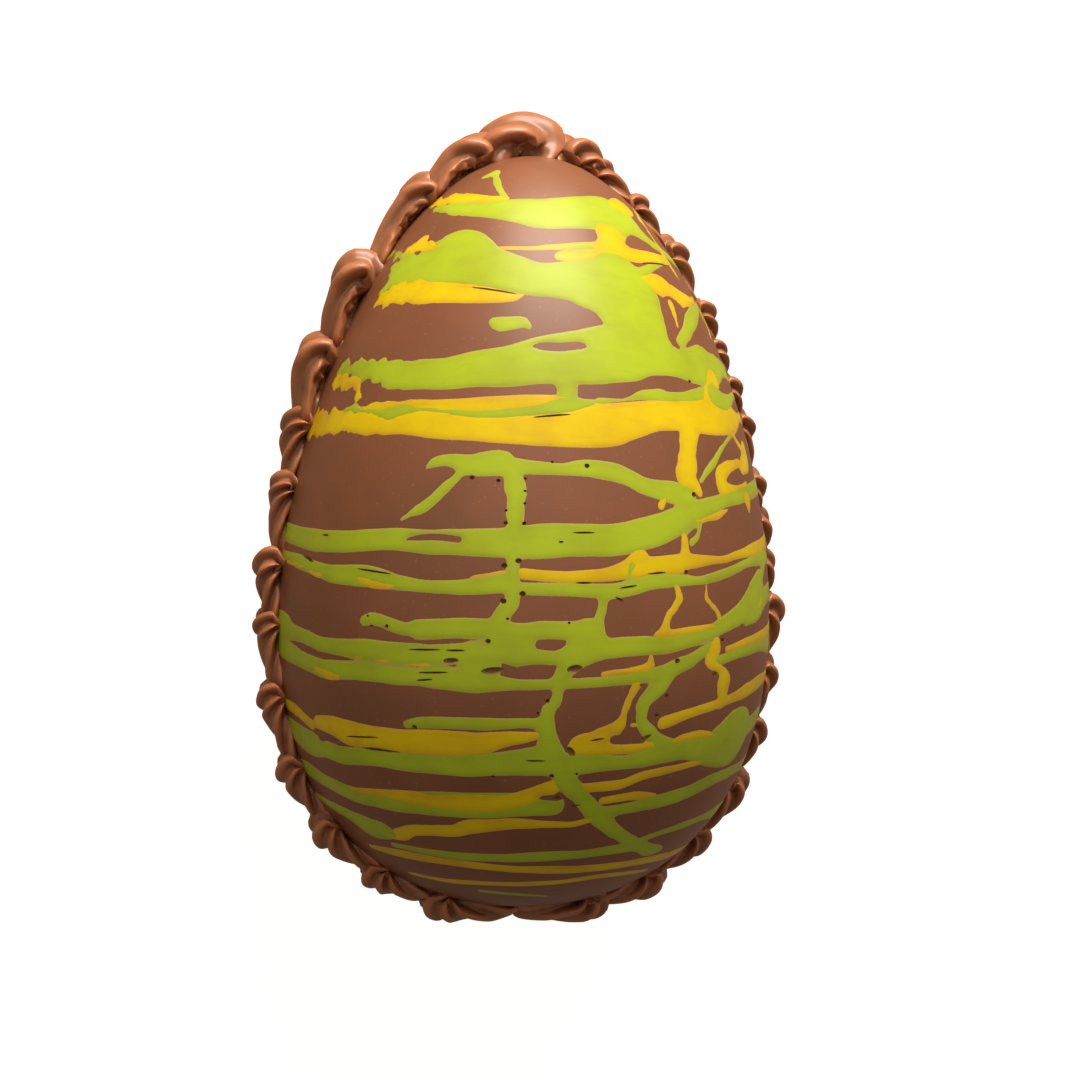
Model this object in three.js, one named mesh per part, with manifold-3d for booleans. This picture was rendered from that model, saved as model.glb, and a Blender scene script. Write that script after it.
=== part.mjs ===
// Chocolate Easter egg, in millimetres, +Z up.
//
// Two moulded half shells meet at a seam that runs round the egg through both ends, and a border of
// piped chocolate shells covers the seam. The egg lies on its back half, so its decorated front half
// looks up (+Z). The pointed end is towards +Y and the blunt end towards -Y. The origin is the middle
// of the small flat spot that the egg rests on.
//
// Everything is modelled in the egg's own frame first, with the long axis on Y and the seam in the
// plane Z = 0, and one group then turns and lifts it to where it balances.

import * as THREE from 'three';
import { mergeVertices } from 'three/addons/utils/BufferGeometryUtils.js';
import Module from 'manifold-3d';

// ---- Driving dimensions -------------------------------------------------------------------------

const EGG_LENGTH = 164; // pole to pole
const EGG_RADIUS = 54; // at the widest place
const BLUNT_SHIFT = 19.4; // how far the widest place lies from the middle, towards the blunt end
const SEAM_GAP = 0.3; // between the two halves, under the piping
const REST_DEPTH = 0.6; // how much is flattened off the back where it rests

const PROFILE_STEPS = 26; // rings along the egg
const ROUND_STEPS = 32; // facets round the egg

const SEAT_GAP = 0.5; // between a piped shell's foot and the egg, so that their facets stay clear
const SHELL_GAP = 0.3; // between one piped shell and the next one's head
const RIDGES = 5; // crests that the star nozzle leaves on a piped shell
const GROOVE_DEPTH = 0.24; // depth of the grooves between them, as a share of the shell's size
const SHELL_STEPS = 7; // sections along a piped shell
const HEAD_CROWDING = 1.3; // over 1 puts more of them into the round head
const HEAD_SHARE = 0.34; // the part of a piped shell's length taken up by its round head
const TAIL_SIZE = 0.6; // the tail's size, as a share of the head's
const SHELL_HALF_WIDTH = 4.4; // half the width that a piped shell has before its height adds to it
const WIDTH_PER_HEIGHT = 0.4; // half width added for each millimetre of height
const HEAD_LEAD = 0.8; // how far a head starts before its crown, as a share of its height
const TAIL_REACH = 2.5; // how far a tail runs on below the crown of the next head
const LAST_TAIL = 15; // length behind the crown of the last shell of each row

// Each piped shell: the distance of its crown from the pointed end, along the seam, and its height.
// They were piped by hand, the left row in longer strokes than the right one.
const LEFT_ROW = [
  [13.5, 8.3], [27.6, 7.4], [51.0, 8.7], [69.6, 8.3], [84.0, 5.8], [98.0, 5.0], [114.7, 5.8],
  [127.0, 5.0], [142.5, 5.5], [158.0, 5.5], [172.5, 6.0], [187.0, 5.5], [201.5, 6.0],
];
const RIGHT_ROW = [
  [7.0, 7.6], [14.5, 6.0], [26.0, 5.0], [39.0, 6.2], [53.5, 5.5], [62.5, 4.5], [71.0, 5.0],
  [79.5, 5.7], [93.0, 5.4], [102.0, 5.7], [111.0, 5.4], [121.0, 6.8], [134.5, 6.0], [147.5, 6.0],
  [160.5, 6.5], [174.0, 6.0], [187.5, 6.5], [201.5, 6.0],
];
// The big one over the pointed end: its head is on the right, and its tail runs down to the left.
const TOP_SHELL = { name: 'piped_top', height: 10.3, start: -5.5, end: 12.5, side: -1 };

const CHOCOLATE = { color: 0x78503a, roughness: 0.42, metalness: 0 };
const PIPING = { color: 0x6f4331, roughness: 0.38, metalness: 0 };

// ---- Solids ---------------------------------------------------------------------------------------

const wasm = await Module();
wasm.setup();

/** Turns a closed three.js geometry into a solid that can be joined and cut. */
function toSolid(geometry) {
  const bare = geometry.clone();
  for (const name of ['normal', 'uv']) bare.deleteAttribute(name);
  const merged = mergeVertices(bare, 1e-5);
  return new wasm.Manifold(new wasm.Mesh({
    numProp: 3,
    vertProperties: Float32Array.from(merged.attributes.position.array),
    triVerts: Uint32Array.from(merged.index.array),
  }));
}

/** Turns a solid back into a three.js geometry. */
function toGeometry(solid) {
  const mesh = solid.getMesh();
  const geometry = new THREE.BufferGeometry();
  geometry.setAttribute('position', new THREE.BufferAttribute(mesh.vertProperties, 3));
  geometry.setIndex(new THREE.BufferAttribute(mesh.triVerts, 1));
  geometry.computeVertexNormals();
  return geometry;
}

/** A box that fills one side of the plane through `point` with the given outward normal. */
function boxBeyond(point, normal) {
  const side = 3 * EGG_LENGTH;
  const geometry = new THREE.BoxGeometry(side, side, side);
  geometry.translate(0, 0, side / 2);
  geometry.applyQuaternion(
    new THREE.Quaternion().setFromUnitVectors(new THREE.Vector3(0, 0, 1), normal));
  geometry.translate(point.x, point.y, point.z);
  return toSolid(geometry);
}

// ---- The egg's outline ----------------------------------------------------------------------------

/** The egg's radius at a height y along its axis. */
function radiusAt(y) {
  const square = EGG_LENGTH ** 2 - 4 * y * y;
  const stretch = EGG_LENGTH ** 2 + 8 * BLUNT_SHIFT * y + 4 * BLUNT_SHIFT ** 2;
  return EGG_RADIUS * Math.sqrt(Math.max(square, 0) / stretch);
}

/** How steeply the radius changes along the axis. */
function slopeAt(y, step = 0.01) {
  return (radiusAt(y + step) - radiusAt(y - step)) / (2 * step);
}

/** The seam: the egg's outline in the plane Z = 0, from the pointed end down the right side (+X),
 *  round the blunt end and up the left side again. */
class SeamCurve extends THREE.Curve {
  constructor() {
    super();
    this.arcLengthDivisions = 2000;
  }

  getPoint(t, target = new THREE.Vector3()) {
    const angle = 2 * Math.PI * t;
    const y = EGG_LENGTH / 2 * Math.cos(angle);
    return target.set(Math.sign(Math.sin(angle)) * radiusAt(y), y, 0);
  }

  /** The point, the outward normal and the egg's radius of curvature across the seam, at a distance
   *  from the pointed end that is negative on the left side. */
  frameAt(distance) {
    const share = (distance / this.getLength() + 1) % 1;
    const point = this.getPointAt(share);
    const step = 1e-3;
    const ahead = this.getPointAt((share + step) % 1);
    const behind = this.getPointAt((share - step + 1) % 1);
    const along = ahead.sub(behind).normalize();
    const normal = new THREE.Vector3(-along.y, along.x, 0);
    const nearPole = Math.abs(normal.x) < 0.05;
    const across = nearPole ? this.poleCurvature(point.y) : point.x / normal.x;
    return { point, normal, across };
  }

  /** The radius of curvature at a pole, where the outline crosses the axis. */
  poleCurvature(y) {
    const inset = 0.5;
    const radius = radiusAt(Math.sign(y) * (EGG_LENGTH / 2 - inset));
    return (radius ** 2 + inset ** 2) / (2 * inset);
  }
}

const seam = new SeamCurve();

// ---- Where the egg balances -------------------------------------------------------------------------

/** The height of the solid egg's centre of mass along its axis. */
function centreOfMass(steps = 400) {
  let volume = 0;
  let moment = 0;
  for (let i = 0; i < steps; i++) {
    const y = EGG_LENGTH * ((i + 0.5) / steps - 0.5);
    volume += radiusAt(y) ** 2;
    moment += y * radiusAt(y) ** 2;
  }
  return moment / volume;
}

/** The height along the axis where a line square to the surface passes through the centre of mass:
 *  lying on that place, the egg neither rolls nor pitches. */
function balancePoint() {
  const centre = centreOfMass();
  let low = -EGG_LENGTH / 4;
  let high = EGG_LENGTH / 4;
  for (let i = 0; i < 50; i++) {
    const y = (low + high) / 2;
    if (y + radiusAt(y) * slopeAt(y) < centre) low = y;
    else high = y;
  }
  return (low + high) / 2;
}

const restHeight = balancePoint();
const restTilt = Math.atan(-slopeAt(restHeight)); // how far the pointed end leans down
const down = new THREE.Vector3(0, Math.sin(restTilt), -Math.cos(restTilt));
const restPoint = new THREE.Vector3(0, restHeight, -radiusAt(restHeight))
  .addScaledVector(down, -REST_DEPTH);

// ---- The moulded halves -------------------------------------------------------------------------------

/** The whole egg as a solid of revolution about Y. */
function wholeEgg() {
  const points = [];
  for (let i = 0; i <= PROFILE_STEPS; i++) {
    const y = -EGG_LENGTH / 2 * Math.cos(Math.PI * i / PROFILE_STEPS);
    const onAxis = i === 0 || i === PROFILE_STEPS;
    points.push(new THREE.Vector2(onAxis ? 0 : radiusAt(y), y));
  }
  return toSolid(new THREE.LatheGeometry(points, ROUND_STEPS, Math.PI / 2));
}

/** One half of the egg. `side` is +1 for the front half and -1 for the back half. */
function eggHalf(side) {
  const outward = new THREE.Vector3(0, 0, side);
  const shift = outward.clone().multiplyScalar(SEAM_GAP / 2);
  const half = wholeEgg().translate([shift.x, shift.y, shift.z]);
  return half.subtract(boxBeyond(shift, outward.clone().negate()));
}

// ---- The piped border -----------------------------------------------------------------------------------

/** How large a piped shell is at a share t of its length: a round head, then a long taper. */
function shellSize(t) {
  if (t < HEAD_SHARE) return Math.sqrt(1 - (1 - t / HEAD_SHARE) ** 2);
  const taper = (t - HEAD_SHARE) / (1 - HEAD_SHARE);
  return 1 - (1 - TAIL_SIZE) * (1 - Math.cos(Math.PI * taper)) / 2;
}

/** The outline of one section across the seam, as points at a height over the egg and a distance
 *  from the seam. The arch has a crest for each ridge, and its foot follows the egg. */
function sectionOutline(size, height, halfWidth) {
  const outline = [];
  for (let i = 0; i <= 2 * RIDGES; i++) {
    const angle = Math.PI * i / (2 * RIDGES);
    const foot = i === 0 || i === 2 * RIDGES;
    const ridge = i % 2 === 1 || foot ? 1 : 1 - GROOVE_DEPTH;
    outline.push({
      up: foot ? 0 : size * height * ridge * Math.sin(angle),
      out: size * halfWidth * ridge * Math.cos(angle),
    });
  }
  outline.push({ up: 0, out: 0 });
  return outline;
}

/** A closed geometry skinned over rings of points, from a first tip to a flat last ring. */
function skin(tip, rings) {
  const count = rings[0].length;
  const positions = [tip, ...rings.flat()].flatMap((p) => [p.x, p.y, p.z]);
  const index = [];
  const at = (ring, i) => 1 + ring * count + (i % count);
  for (let i = 0; i < count; i++) index.push(0, at(0, i), at(0, i + 1));
  for (let ring = 0; ring + 1 < rings.length; ring++) {
    for (let i = 0; i < count; i++) {
      index.push(at(ring, i), at(ring + 1, i), at(ring + 1, i + 1));
      index.push(at(ring, i), at(ring + 1, i + 1), at(ring, i + 1));
    }
  }
  const last = rings.length - 1;
  for (let i = 0; i + 1 < count - 1; i++) index.push(at(last, count - 1), at(last, i + 1), at(last, i));
  const geometry = new THREE.BufferGeometry();
  geometry.setAttribute('position', new THREE.Float32BufferAttribute(positions, 3));
  geometry.setIndex(index);
  return geometry;
}

/** One piped shell as a solid. `grow` makes the larger copy that the shell before it is cut with. */
function pipedShell({ start, end, height, side }, grow = 0) {
  const halfWidth = SHELL_HALF_WIDTH + WIDTH_PER_HEIGHT * height + grow;
  const from = start - grow;
  const place = (distance, { up, out }) => {
    const { point, normal, across } = seam.frameAt(side * distance);
    const drop = across - Math.sqrt(across ** 2 - out ** 2);
    return point.clone().addScaledVector(normal, SEAT_GAP - grow + up - drop).setZ(side * out);
  };
  const rings = [];
  for (let i = 1; i <= SHELL_STEPS; i++) {
    const t = (i / SHELL_STEPS) ** HEAD_CROWDING;
    const outline = sectionOutline(shellSize(t), height + 2 * grow, halfWidth);
    rings.push(outline.map((corner) => place(from + (end - from) * t, corner)));
  }
  return toSolid(skin(place(from, { up: 0, out: 0 }), rings));
}

/** The start, end and height of every shell of one row. A head starts a little before its crown,
 *  and a tail runs on until the next head covers it. */
function rowOfShells(row, side, label) {
  return row.map(([crown, height], i) => ({
    name: `piped_${label}_${String(i + 1).padStart(2, '0')}`,
    start: crown - HEAD_LEAD * height,
    end: i + 1 < row.length ? row[i + 1][0] - TAIL_REACH : crown + LAST_TAIL,
    height,
    side,
  }));
}

/** The solids of one row, each cut back from the head of the next. */
function pipeRow(shells) {
  return shells.map((shell, i) => {
    const next = shells[i + 1];
    const solid = pipedShell(shell);
    return { name: shell.name, solid: next ? solid.subtract(pipedShell(next, SHELL_GAP)) : solid };
  });
}

// ---- Assembly ---------------------------------------------------------------------------------------------

function named(name, solid, finish) {
  const mesh = new THREE.Mesh(toGeometry(solid), new THREE.MeshStandardMaterial(finish));
  mesh.name = name;
  return mesh;
}

const left = pipeRow([TOP_SHELL, ...rowOfShells(LEFT_ROW, -1, 'left')]);
const right = pipeRow(rowOfShells(RIGHT_ROW, 1, 'right'));
right[0].solid = right[0].solid.subtract(pipedShell(TOP_SHELL, SHELL_GAP));
const piping = [...left, ...right];

const egg = new THREE.Group();
egg.add(named('egg_front_half', eggHalf(1), CHOCOLATE));
egg.add(named('egg_back_half', eggHalf(-1).subtract(boxBeyond(restPoint, down)), CHOCOLATE));
for (const { name, solid } of piping) egg.add(named(name, solid, PIPING));
egg.position.copy(restPoint).negate();

const part = new THREE.Group();
part.rotation.x = -restTilt;
part.add(egg);

export default part;
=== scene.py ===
"""A moulded milk chocolate Easter egg, drizzled in two colours and edged with piped chocolate.

The egg lies on its back half, on a small flat spot, with its pointed end towards +Y. Everything is
modelled in the egg's own frame in millimetres (long axis on Y, seam in the plane Z = 0, front half
towards +Z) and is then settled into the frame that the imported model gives, in metres.

The coloured drizzles were flicked into the mould before the milk chocolate went in, so they lie
flush with the egg's surface as thin inlays, and small air holes are left where the strokes meet.
"""

import logging
import math
from collections.abc import Callable
from dataclasses import dataclass, field
from enum import Enum

import bpy
import numpy as np
from mathutils import Matrix, Vector, noise


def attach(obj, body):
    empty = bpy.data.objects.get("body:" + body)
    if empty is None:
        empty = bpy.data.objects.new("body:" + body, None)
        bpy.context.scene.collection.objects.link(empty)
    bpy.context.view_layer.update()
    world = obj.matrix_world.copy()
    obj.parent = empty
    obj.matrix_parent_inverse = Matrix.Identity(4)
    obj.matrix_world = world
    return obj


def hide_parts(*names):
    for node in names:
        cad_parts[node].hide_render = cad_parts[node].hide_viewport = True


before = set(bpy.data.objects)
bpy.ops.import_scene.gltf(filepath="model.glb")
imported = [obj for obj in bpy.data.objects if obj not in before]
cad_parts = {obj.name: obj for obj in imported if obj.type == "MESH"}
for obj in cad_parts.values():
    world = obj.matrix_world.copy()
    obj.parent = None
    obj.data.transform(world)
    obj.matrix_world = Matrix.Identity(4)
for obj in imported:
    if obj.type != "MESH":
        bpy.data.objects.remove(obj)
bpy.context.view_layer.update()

BODY = "root"
MM = 0.001  # metres
WELD = 0.01  # mm, nearer than which two points are one
SMOOTH_BELOW = 38  # degrees between two faces, past which the edge stays sharp
COCOA_BUTTER_IOR = 1.46

Array = np.ndarray
Point = tuple[float, float, float]
Span = tuple[float, float]
Layers = tuple[Span, ...]

log = logging.getLogger("chocolate_egg")


class Slot(Enum):
    """The record's material slots."""

    MOULDED = "milk_chocolate"
    PIPED = "piped_chocolate"
    GREEN = "green_chocolate"
    YELLOW = "yellow_chocolate"


class Colour(Enum):
    """What a stroke leaves in the mould: a colour, or bare chocolate where one has run back."""

    GREEN = "green"
    YELLOW = "yellow"
    BARE = "bare"


class Side(Enum):
    """The two moulded halves, with the sign of their direction along the egg's Z."""

    FRONT = 1
    BACK = -1


# ---- Working with Blender ------------------------------------------------------------------------


def activate(piece: bpy.types.Object) -> None:
    """Makes one object the only selected one and the active one.

    Args:
        piece: the object that the next operators work on.
    """
    bpy.ops.object.select_all(action="DESELECT")
    piece.select_set(True)
    bpy.context.view_layer.objects.active = piece


def added(name: str) -> bpy.types.Object:
    """Names the object that the last operator added.

    Args:
        name: the new name of the object and of its mesh.

    Returns:
        The object.
    """
    piece = bpy.context.view_layer.objects.active
    piece.name = name
    piece.data.name = name
    return piece


def vertex_places(piece: bpy.types.Object) -> Array:
    """Reads a mesh's vertices.

    Args:
        piece: a mesh object in object mode.

    Returns:
        One row of x, y, z for each vertex.
    """
    places = np.empty(len(piece.data.vertices) * 3)
    piece.data.vertices.foreach_get("co", places)
    return places.reshape(-1, 3)


def move_vertices(piece: bpy.types.Object, places: Array) -> None:
    """Writes a mesh's vertices.

    Args:
        piece: a mesh object in object mode.
        places: one row of x, y, z for each vertex.
    """
    piece.data.vertices.foreach_set("co", places.astype(np.float32).ravel())
    piece.data.update()


def pick(piece: bpy.types.Object, mode: str, chosen: Array) -> None:
    """Goes into edit mode with only the chosen elements selected.

    Args:
        piece: a mesh object in object mode.
        mode: VERT, EDGE or FACE.
        chosen: True for each vertex, edge or face to select.
    """
    activate(piece)
    bpy.ops.object.mode_set(mode="EDIT")
    bpy.ops.mesh.select_mode(type=mode)
    bpy.ops.mesh.select_all(action="DESELECT")
    bpy.ops.object.mode_set(mode="OBJECT")
    elements = {"VERT": piece.data.vertices, "EDGE": piece.data.edges, "FACE": piece.data.polygons}
    elements[mode].foreach_set("select", np.asarray(chosen, bool))
    bpy.ops.object.mode_set(mode="EDIT")


def apply_modifier(piece: bpy.types.Object, kind: str, **settings: object) -> None:
    """Adds a modifier and applies it.

    Args:
        piece: the mesh object.
        kind: the modifier's type.
        settings: the modifier's settings by name.
    """
    activate(piece)
    modifier = piece.modifiers.new(kind.title(), kind)
    for name, value in settings.items():
        setattr(modifier, name, value)
    bpy.ops.object.modifier_apply(modifier=modifier.name)


def settle(piece: bpy.types.Object, place: Matrix) -> None:
    """Moves a piece modelled in the egg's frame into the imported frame, and leaves that in its mesh.

    Args:
        piece: the mesh object, in millimetres in the egg's own frame.
        place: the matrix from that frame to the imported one.
    """
    activate(piece)
    piece.matrix_world = place
    bpy.ops.object.transform_apply(location=True, rotation=True, scale=True)


def cut_at_floor(piece: bpy.types.Object) -> None:
    """Cuts away what is below the plane that the egg rests on, and closes the cut.

    Args:
        piece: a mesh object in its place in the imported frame.
    """
    everything = np.ones(len(piece.data.polygons), bool)
    nearest = 1e-7  # metres from the plane
    pick(piece, "FACE", everything)
    bpy.ops.mesh.bisect(
        plane_co=(0, 0, 0), plane_no=(0, 0, 1), use_fill=True, clear_inner=True, threshold=nearest
    )
    bpy.ops.object.mode_set(mode="OBJECT")


def linear(hex_colour: str) -> tuple[float, float, float, float]:
    """Turns an sRGB hex colour into linear light.

    Args:
        hex_colour: six hex digits.

    Returns:
        Red, green, blue and an alpha of one.
    """
    shares = [int(hex_colour[i : i + 2], 16) / 255 for i in (0, 2, 4)]
    light = [s / 12.92 if s <= 0.04045 else ((s + 0.055) / 1.055) ** 2.4 for s in shares]
    return (*light, 1.0)


def per_mm(size: float) -> float:
    """The scale that gives a pattern on Object coordinates, in metres, features of a size in mm."""
    return 1 / (size * MM)


def add_node(
    material: bpy.types.Material | bpy.types.World,
    kind: str,
    settings: dict[str | int, object] | None = None,
    links: dict[str | int, bpy.types.NodeSocket] | None = None,
) -> bpy.types.Node:
    """Adds one shader node.

    Args:
        material: the material or the world that it goes into.
        kind: the node's type, without the leading ShaderNode.
        settings: values by the name or number of a socket, or by the name of a property.
        links: sockets of other nodes by the name or number of the socket that they feed.

    Returns:
        The node.
    """
    node = material.node_tree.nodes.new("ShaderNode" + kind)
    for name, value in (settings or {}).items():
        if isinstance(name, int) or (name in node.inputs and not hasattr(node, str(name))):
            node.inputs[name].default_value = value
        else:
            setattr(node, name, value)
    for name, socket in (links or {}).items():
        material.node_tree.links.new(socket, node.inputs[name])
    return node


def new_material(name: str) -> bpy.types.Material:
    """Adds a material with an empty node tree.

    Args:
        name: the material's name.

    Returns:
        The material.
    """
    material = bpy.data.materials.new(name)
    material.use_nodes = True
    material.node_tree.nodes.clear()
    return material


# ---- The egg's form --------------------------------------------------------------------------------


@dataclass(frozen=True)
class EggForm:
    """The egg's outline: an oval of revolution about Y, with its widest place nearer the blunt end.

    Sizes are in millimetres, and a place on the surface is a longitude in degrees from the middle of
    the front, towards +X, and a height along Y.
    """

    length: float = 164.0
    radius: float = 54.0
    blunt_shift: float = 19.4
    table_steps: int = 2000

    def square_at(self, height: Array) -> Array:
        """The square of the radius at a height."""
        taper = self.length**2 + 8 * self.blunt_shift * height + 4 * self.blunt_shift**2
        return self.radius**2 * (self.length**2 - 4 * height**2) / taper

    def square_slope_at(self, height: Array) -> Array:
        """How fast that square changes with height.

        Args:
            height: the heights along Y.

        Returns:
            The slope at each.
        """
        taper = self.length**2 + 8 * self.blunt_shift * height + 4 * self.blunt_shift**2
        fall = -8 * height * taper - 8 * self.blunt_shift * (self.length**2 - 4 * height**2)
        return self.radius**2 * fall / taper**2

    def surface(self, longitude: Array, height: Array) -> Array:
        """Finds points on the surface.

        Args:
            longitude: degrees from the middle of the front, towards +X.
            height: the heights along Y.

        Returns:
            One row of x, y, z each.
        """
        ring = np.sqrt(np.maximum(self.square_at(height), 0))
        turn = np.radians(longitude)
        return np.stack([ring * np.sin(turn), height + 0 * ring, ring * np.cos(turn)], axis=-1)

    def normals(self, points: Array) -> Array:
        """Finds the way straight out of the surface.

        Args:
            points: rows of x, y, z on the surface.

        Returns:
            One unit normal each.
        """
        steep = self.square_slope_at(points[..., 1]) / 2
        out = np.stack([points[..., 0], -steep, points[..., 2]], axis=-1)
        return out / np.linalg.norm(out, axis=-1, keepdims=True)

    def outline(self) -> tuple[Array, Array]:
        """The outline in the plane of the seam, from the pointed end down the +X side.

        Returns:
            The distance from the pointed end along it, and the points as rows of x, y, z.
        """
        angle = np.linspace(0, math.pi, self.table_steps)
        points = self.surface(np.full(angle.shape, 90.0), self.length / 2 * np.cos(angle))
        steps = np.linalg.norm(np.diff(points, axis=0), axis=1)
        return np.concatenate([[0], np.cumsum(steps)]), points

    def height_along(self, distance: Array) -> Array:
        """The height at a distance from the pointed end, measured over the surface."""
        along, points = self.outline()
        return np.interp(distance, along, points[:, 1])


@dataclass(frozen=True)
class Placement:
    """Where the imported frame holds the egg, read from the flat seam face of its front half."""

    seam_gap: float = 0.3

    def own_frame(self) -> Matrix:
        """The matrix from the egg's own frame, in millimetres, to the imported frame.

        Returns:
            The matrix, with the change of unit in it.
        """
        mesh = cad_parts["egg_front_half"].data
        face = max(mesh.polygons, key=lambda polygon: polygon.area)
        up = -face.normal.normalized()
        corner = mesh.vertices[face.vertices[0]].co
        rim = [v.co for v in mesh.vertices if abs((v.co - corner).dot(up)) < WELD * MM]
        pointed = max(rim, key=lambda co: co.y)
        blunt = min(rim, key=lambda co: co.y)
        along = (pointed - blunt).normalized()
        turn = Matrix((along.cross(up), along, up)).transposed().to_4x4()
        middle = (pointed + blunt) / 2 - up * self.seam_gap / 2 * MM
        return Matrix.Translation(middle) @ turn @ Matrix.Scale(MM, 4)

    def half_frame(self, side: Side) -> Matrix:
        """The matrix for what is modelled as if its half were in front."""
        turn = Matrix.Rotation(math.pi, 4, "Y") if side is Side.BACK else Matrix.Identity(4)
        return self.own_frame() @ turn @ Matrix.Translation((0, 0, self.seam_gap / 2))


@dataclass
class MouldedHalf:
    """One solid half of the egg, with the smooth shine of the mould."""

    form: EggForm
    placement: Placement
    side: Side
    outline_steps: int = 128
    round_steps: int = 128

    def build(self) -> bpy.types.Object:
        """Turns the half's outline round the egg's axis and closes it at the seam.

        Returns:
            The half as a closed mesh in the egg's frame.
        """
        bpy.ops.object.select_all(action="DESELECT")
        bpy.ops.mesh.primitive_circle_add(vertices=2 * self.outline_steps, radius=self.form.length / 2)
        half = added(f"egg_{self.side.name.lower()}_moulded_half")
        pick(half, "VERT", vertex_places(half)[:, 0] < -WELD / 10)
        bpy.ops.mesh.delete(type="VERT")
        bpy.ops.object.mode_set(mode="OBJECT")
        places = vertex_places(half)
        places[:, 0] = np.sqrt(np.maximum(self.form.square_at(places[:, 1]), 0))
        move_vertices(half, places)
        pick(half, "VERT", np.ones(len(places), bool))
        bpy.ops.mesh.spin(steps=self.round_steps, angle=math.pi, center=(0, 0, 0), axis=(0, 1, 0))
        bpy.ops.mesh.select_all(action="SELECT")
        bpy.ops.mesh.remove_doubles(threshold=WELD)
        bpy.ops.mesh.select_all(action="DESELECT")
        bpy.ops.mesh.select_non_manifold()
        bpy.ops.mesh.edge_face_add()
        bpy.ops.mesh.select_all(action="SELECT")
        bpy.ops.mesh.normals_make_consistent(inside=False)
        bpy.ops.object.mode_set(mode="OBJECT")
        return half

    def finish(self, half: bpy.types.Object, holes: bpy.types.Object | None, look: "Finish") -> None:
        """Cuts the air holes and the rest spot, and puts the half in its place.

        Args:
            half: what build() returned.
            holes: the cutters of the air holes, or None.
            look: the finish of the surface.
        """
        if holes:
            apply_modifier(half, "BOOLEAN", object=holes, operation="DIFFERENCE", solver="MANIFOLD")
        settle(half, self.placement.half_frame(self.side))
        if self.side is Side.BACK:
            cut_at_floor(half)
        dress(half, look)
        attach(half, BODY)
        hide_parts(f"egg_{self.side.name.lower()}_half")


@dataclass
class AirHoles:
    """The small holes and thin slits that trapped air leaves in the front, where strokes meet.

    A round hole is a longitude, a height and a width. A slit is a longitude, a height, a length, its
    slope in degrees and its width.
    """

    form: EggForm
    round_holes: tuple[Point, ...]
    slits: tuple[tuple[float, float, float, float, float], ...]
    hole_depth: float = 0.75
    slit_depth: float = 0.6
    squash: float = 0.85  # a round hole's height, as a share of its width

    def build(self) -> bpy.types.Object:
        """Makes one object of all the cutters.

        Returns:
            The cutters, in the egg's frame.
        """
        bpy.ops.object.select_all(action="DESELECT")
        bpy.ops.mesh.primitive_uv_sphere_add(segments=14, ring_count=8, radius=0.5)
        ball = added("air_hole_cutters")
        sizes = [(x, y, (w, w * self.squash, 2 * self.hole_depth), 0.0) for x, y, w in self.round_holes]
        sizes += [(x, y, (n, w, 2 * self.slit_depth), s) for x, y, n, s, w in self.slits]
        cutters = []
        for longitude, height, size, slope in sizes:
            cutter = ball.copy()
            cutter.data = ball.data.copy()
            bpy.context.scene.collection.objects.link(cutter)
            cutter.matrix_world = self.stand(longitude, height, slope) @ Matrix.Diagonal((*size, 1))
            cutters.append(cutter)
        bpy.data.objects.remove(ball)
        activate(cutters[0])
        for cutter in cutters:
            cutter.select_set(True)
        bpy.ops.object.join()
        bpy.ops.object.transform_apply(location=True, rotation=True, scale=True)
        return bpy.context.view_layer.objects.active

    def stand(self, longitude: float, height: float, slope: float) -> Matrix:
        """Finds how a cutter stands on the surface.

        Args:
            longitude: where it is.
            height: where it is.
            slope: how far its length is turned, in degrees.

        Returns:
            A matrix with Z outwards and X along the cutter.
        """
        point = self.form.surface(np.array(float(longitude)), np.array(float(height)))
        out = Vector(self.form.normals(point))
        level = Vector((0, 1, 0)).cross(out).normalized()
        turn = Matrix((level, out.cross(level), out)).transposed().to_4x4()
        return Matrix.Translation(Vector(point)) @ turn @ Matrix.Rotation(math.radians(slope), 4, "Z")


# ---- The drizzles ----------------------------------------------------------------------------------


@dataclass(frozen=True)
class Stroke:
    """One flick of coloured chocolate: points of longitude, height and width, joined smoothly."""

    colour: Colour
    points: tuple[Point, ...]
    step: float = 0.8
    thinnest: float = 0.3

    def trail(self, form: EggForm) -> tuple[Array, Array]:
        """The stroke's line as closely spaced points on the egg.

        Args:
            form: the egg's form.

        Returns:
            The points, and half the width at each.
        """
        knots = np.array(self.points, float)
        places = form.surface(knots[:, 0], knots[:, 1])
        along = np.concatenate([[0], np.cumsum(np.linalg.norm(np.diff(places, axis=0), axis=1))])
        count = max(2, math.ceil(along[-1] / self.step))
        fine = np.linspace(0, along[-1], count)
        smooth = np.stack([ease_through(along, knots[:, i], fine) for i in range(3)], axis=-1)
        return form.surface(smooth[:, 0], smooth[:, 1]), np.maximum(smooth[:, 2], self.thinnest) / 2


def ease_through(knots: Array, values: Array, at: Array) -> Array:
    """Joins values with a smooth curve that doesn't overshoot (a monotone cubic).

    Args:
        knots: rising places of the values.
        values: the values there.
        at: places to work the curve out at.

    Returns:
        The curve at those places.
    """
    if len(knots) < 3:
        return np.interp(at, knots, values)
    run = np.diff(knots)
    slope = np.diff(values) / run
    one, other = slope[:-1], slope[1:]
    never_zero = 1e-12
    inner = np.where(one * other > 0, 2 * one * other / (one + other + never_zero), 0)
    tangent = np.concatenate([[slope[0]], inner, [slope[-1]]])
    i = np.clip(np.searchsorted(knots, at, side="right") - 1, 0, len(run) - 1)
    t = (at - knots[i]) / run[i]
    rise = (3 - 2 * t) * t * t
    bow = t * (1 - t) * run[i]
    return values[i] + (values[i + 1] - values[i]) * rise + bow * (tangent[i] * (1 - t) - tangent[i + 1] * t)


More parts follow.
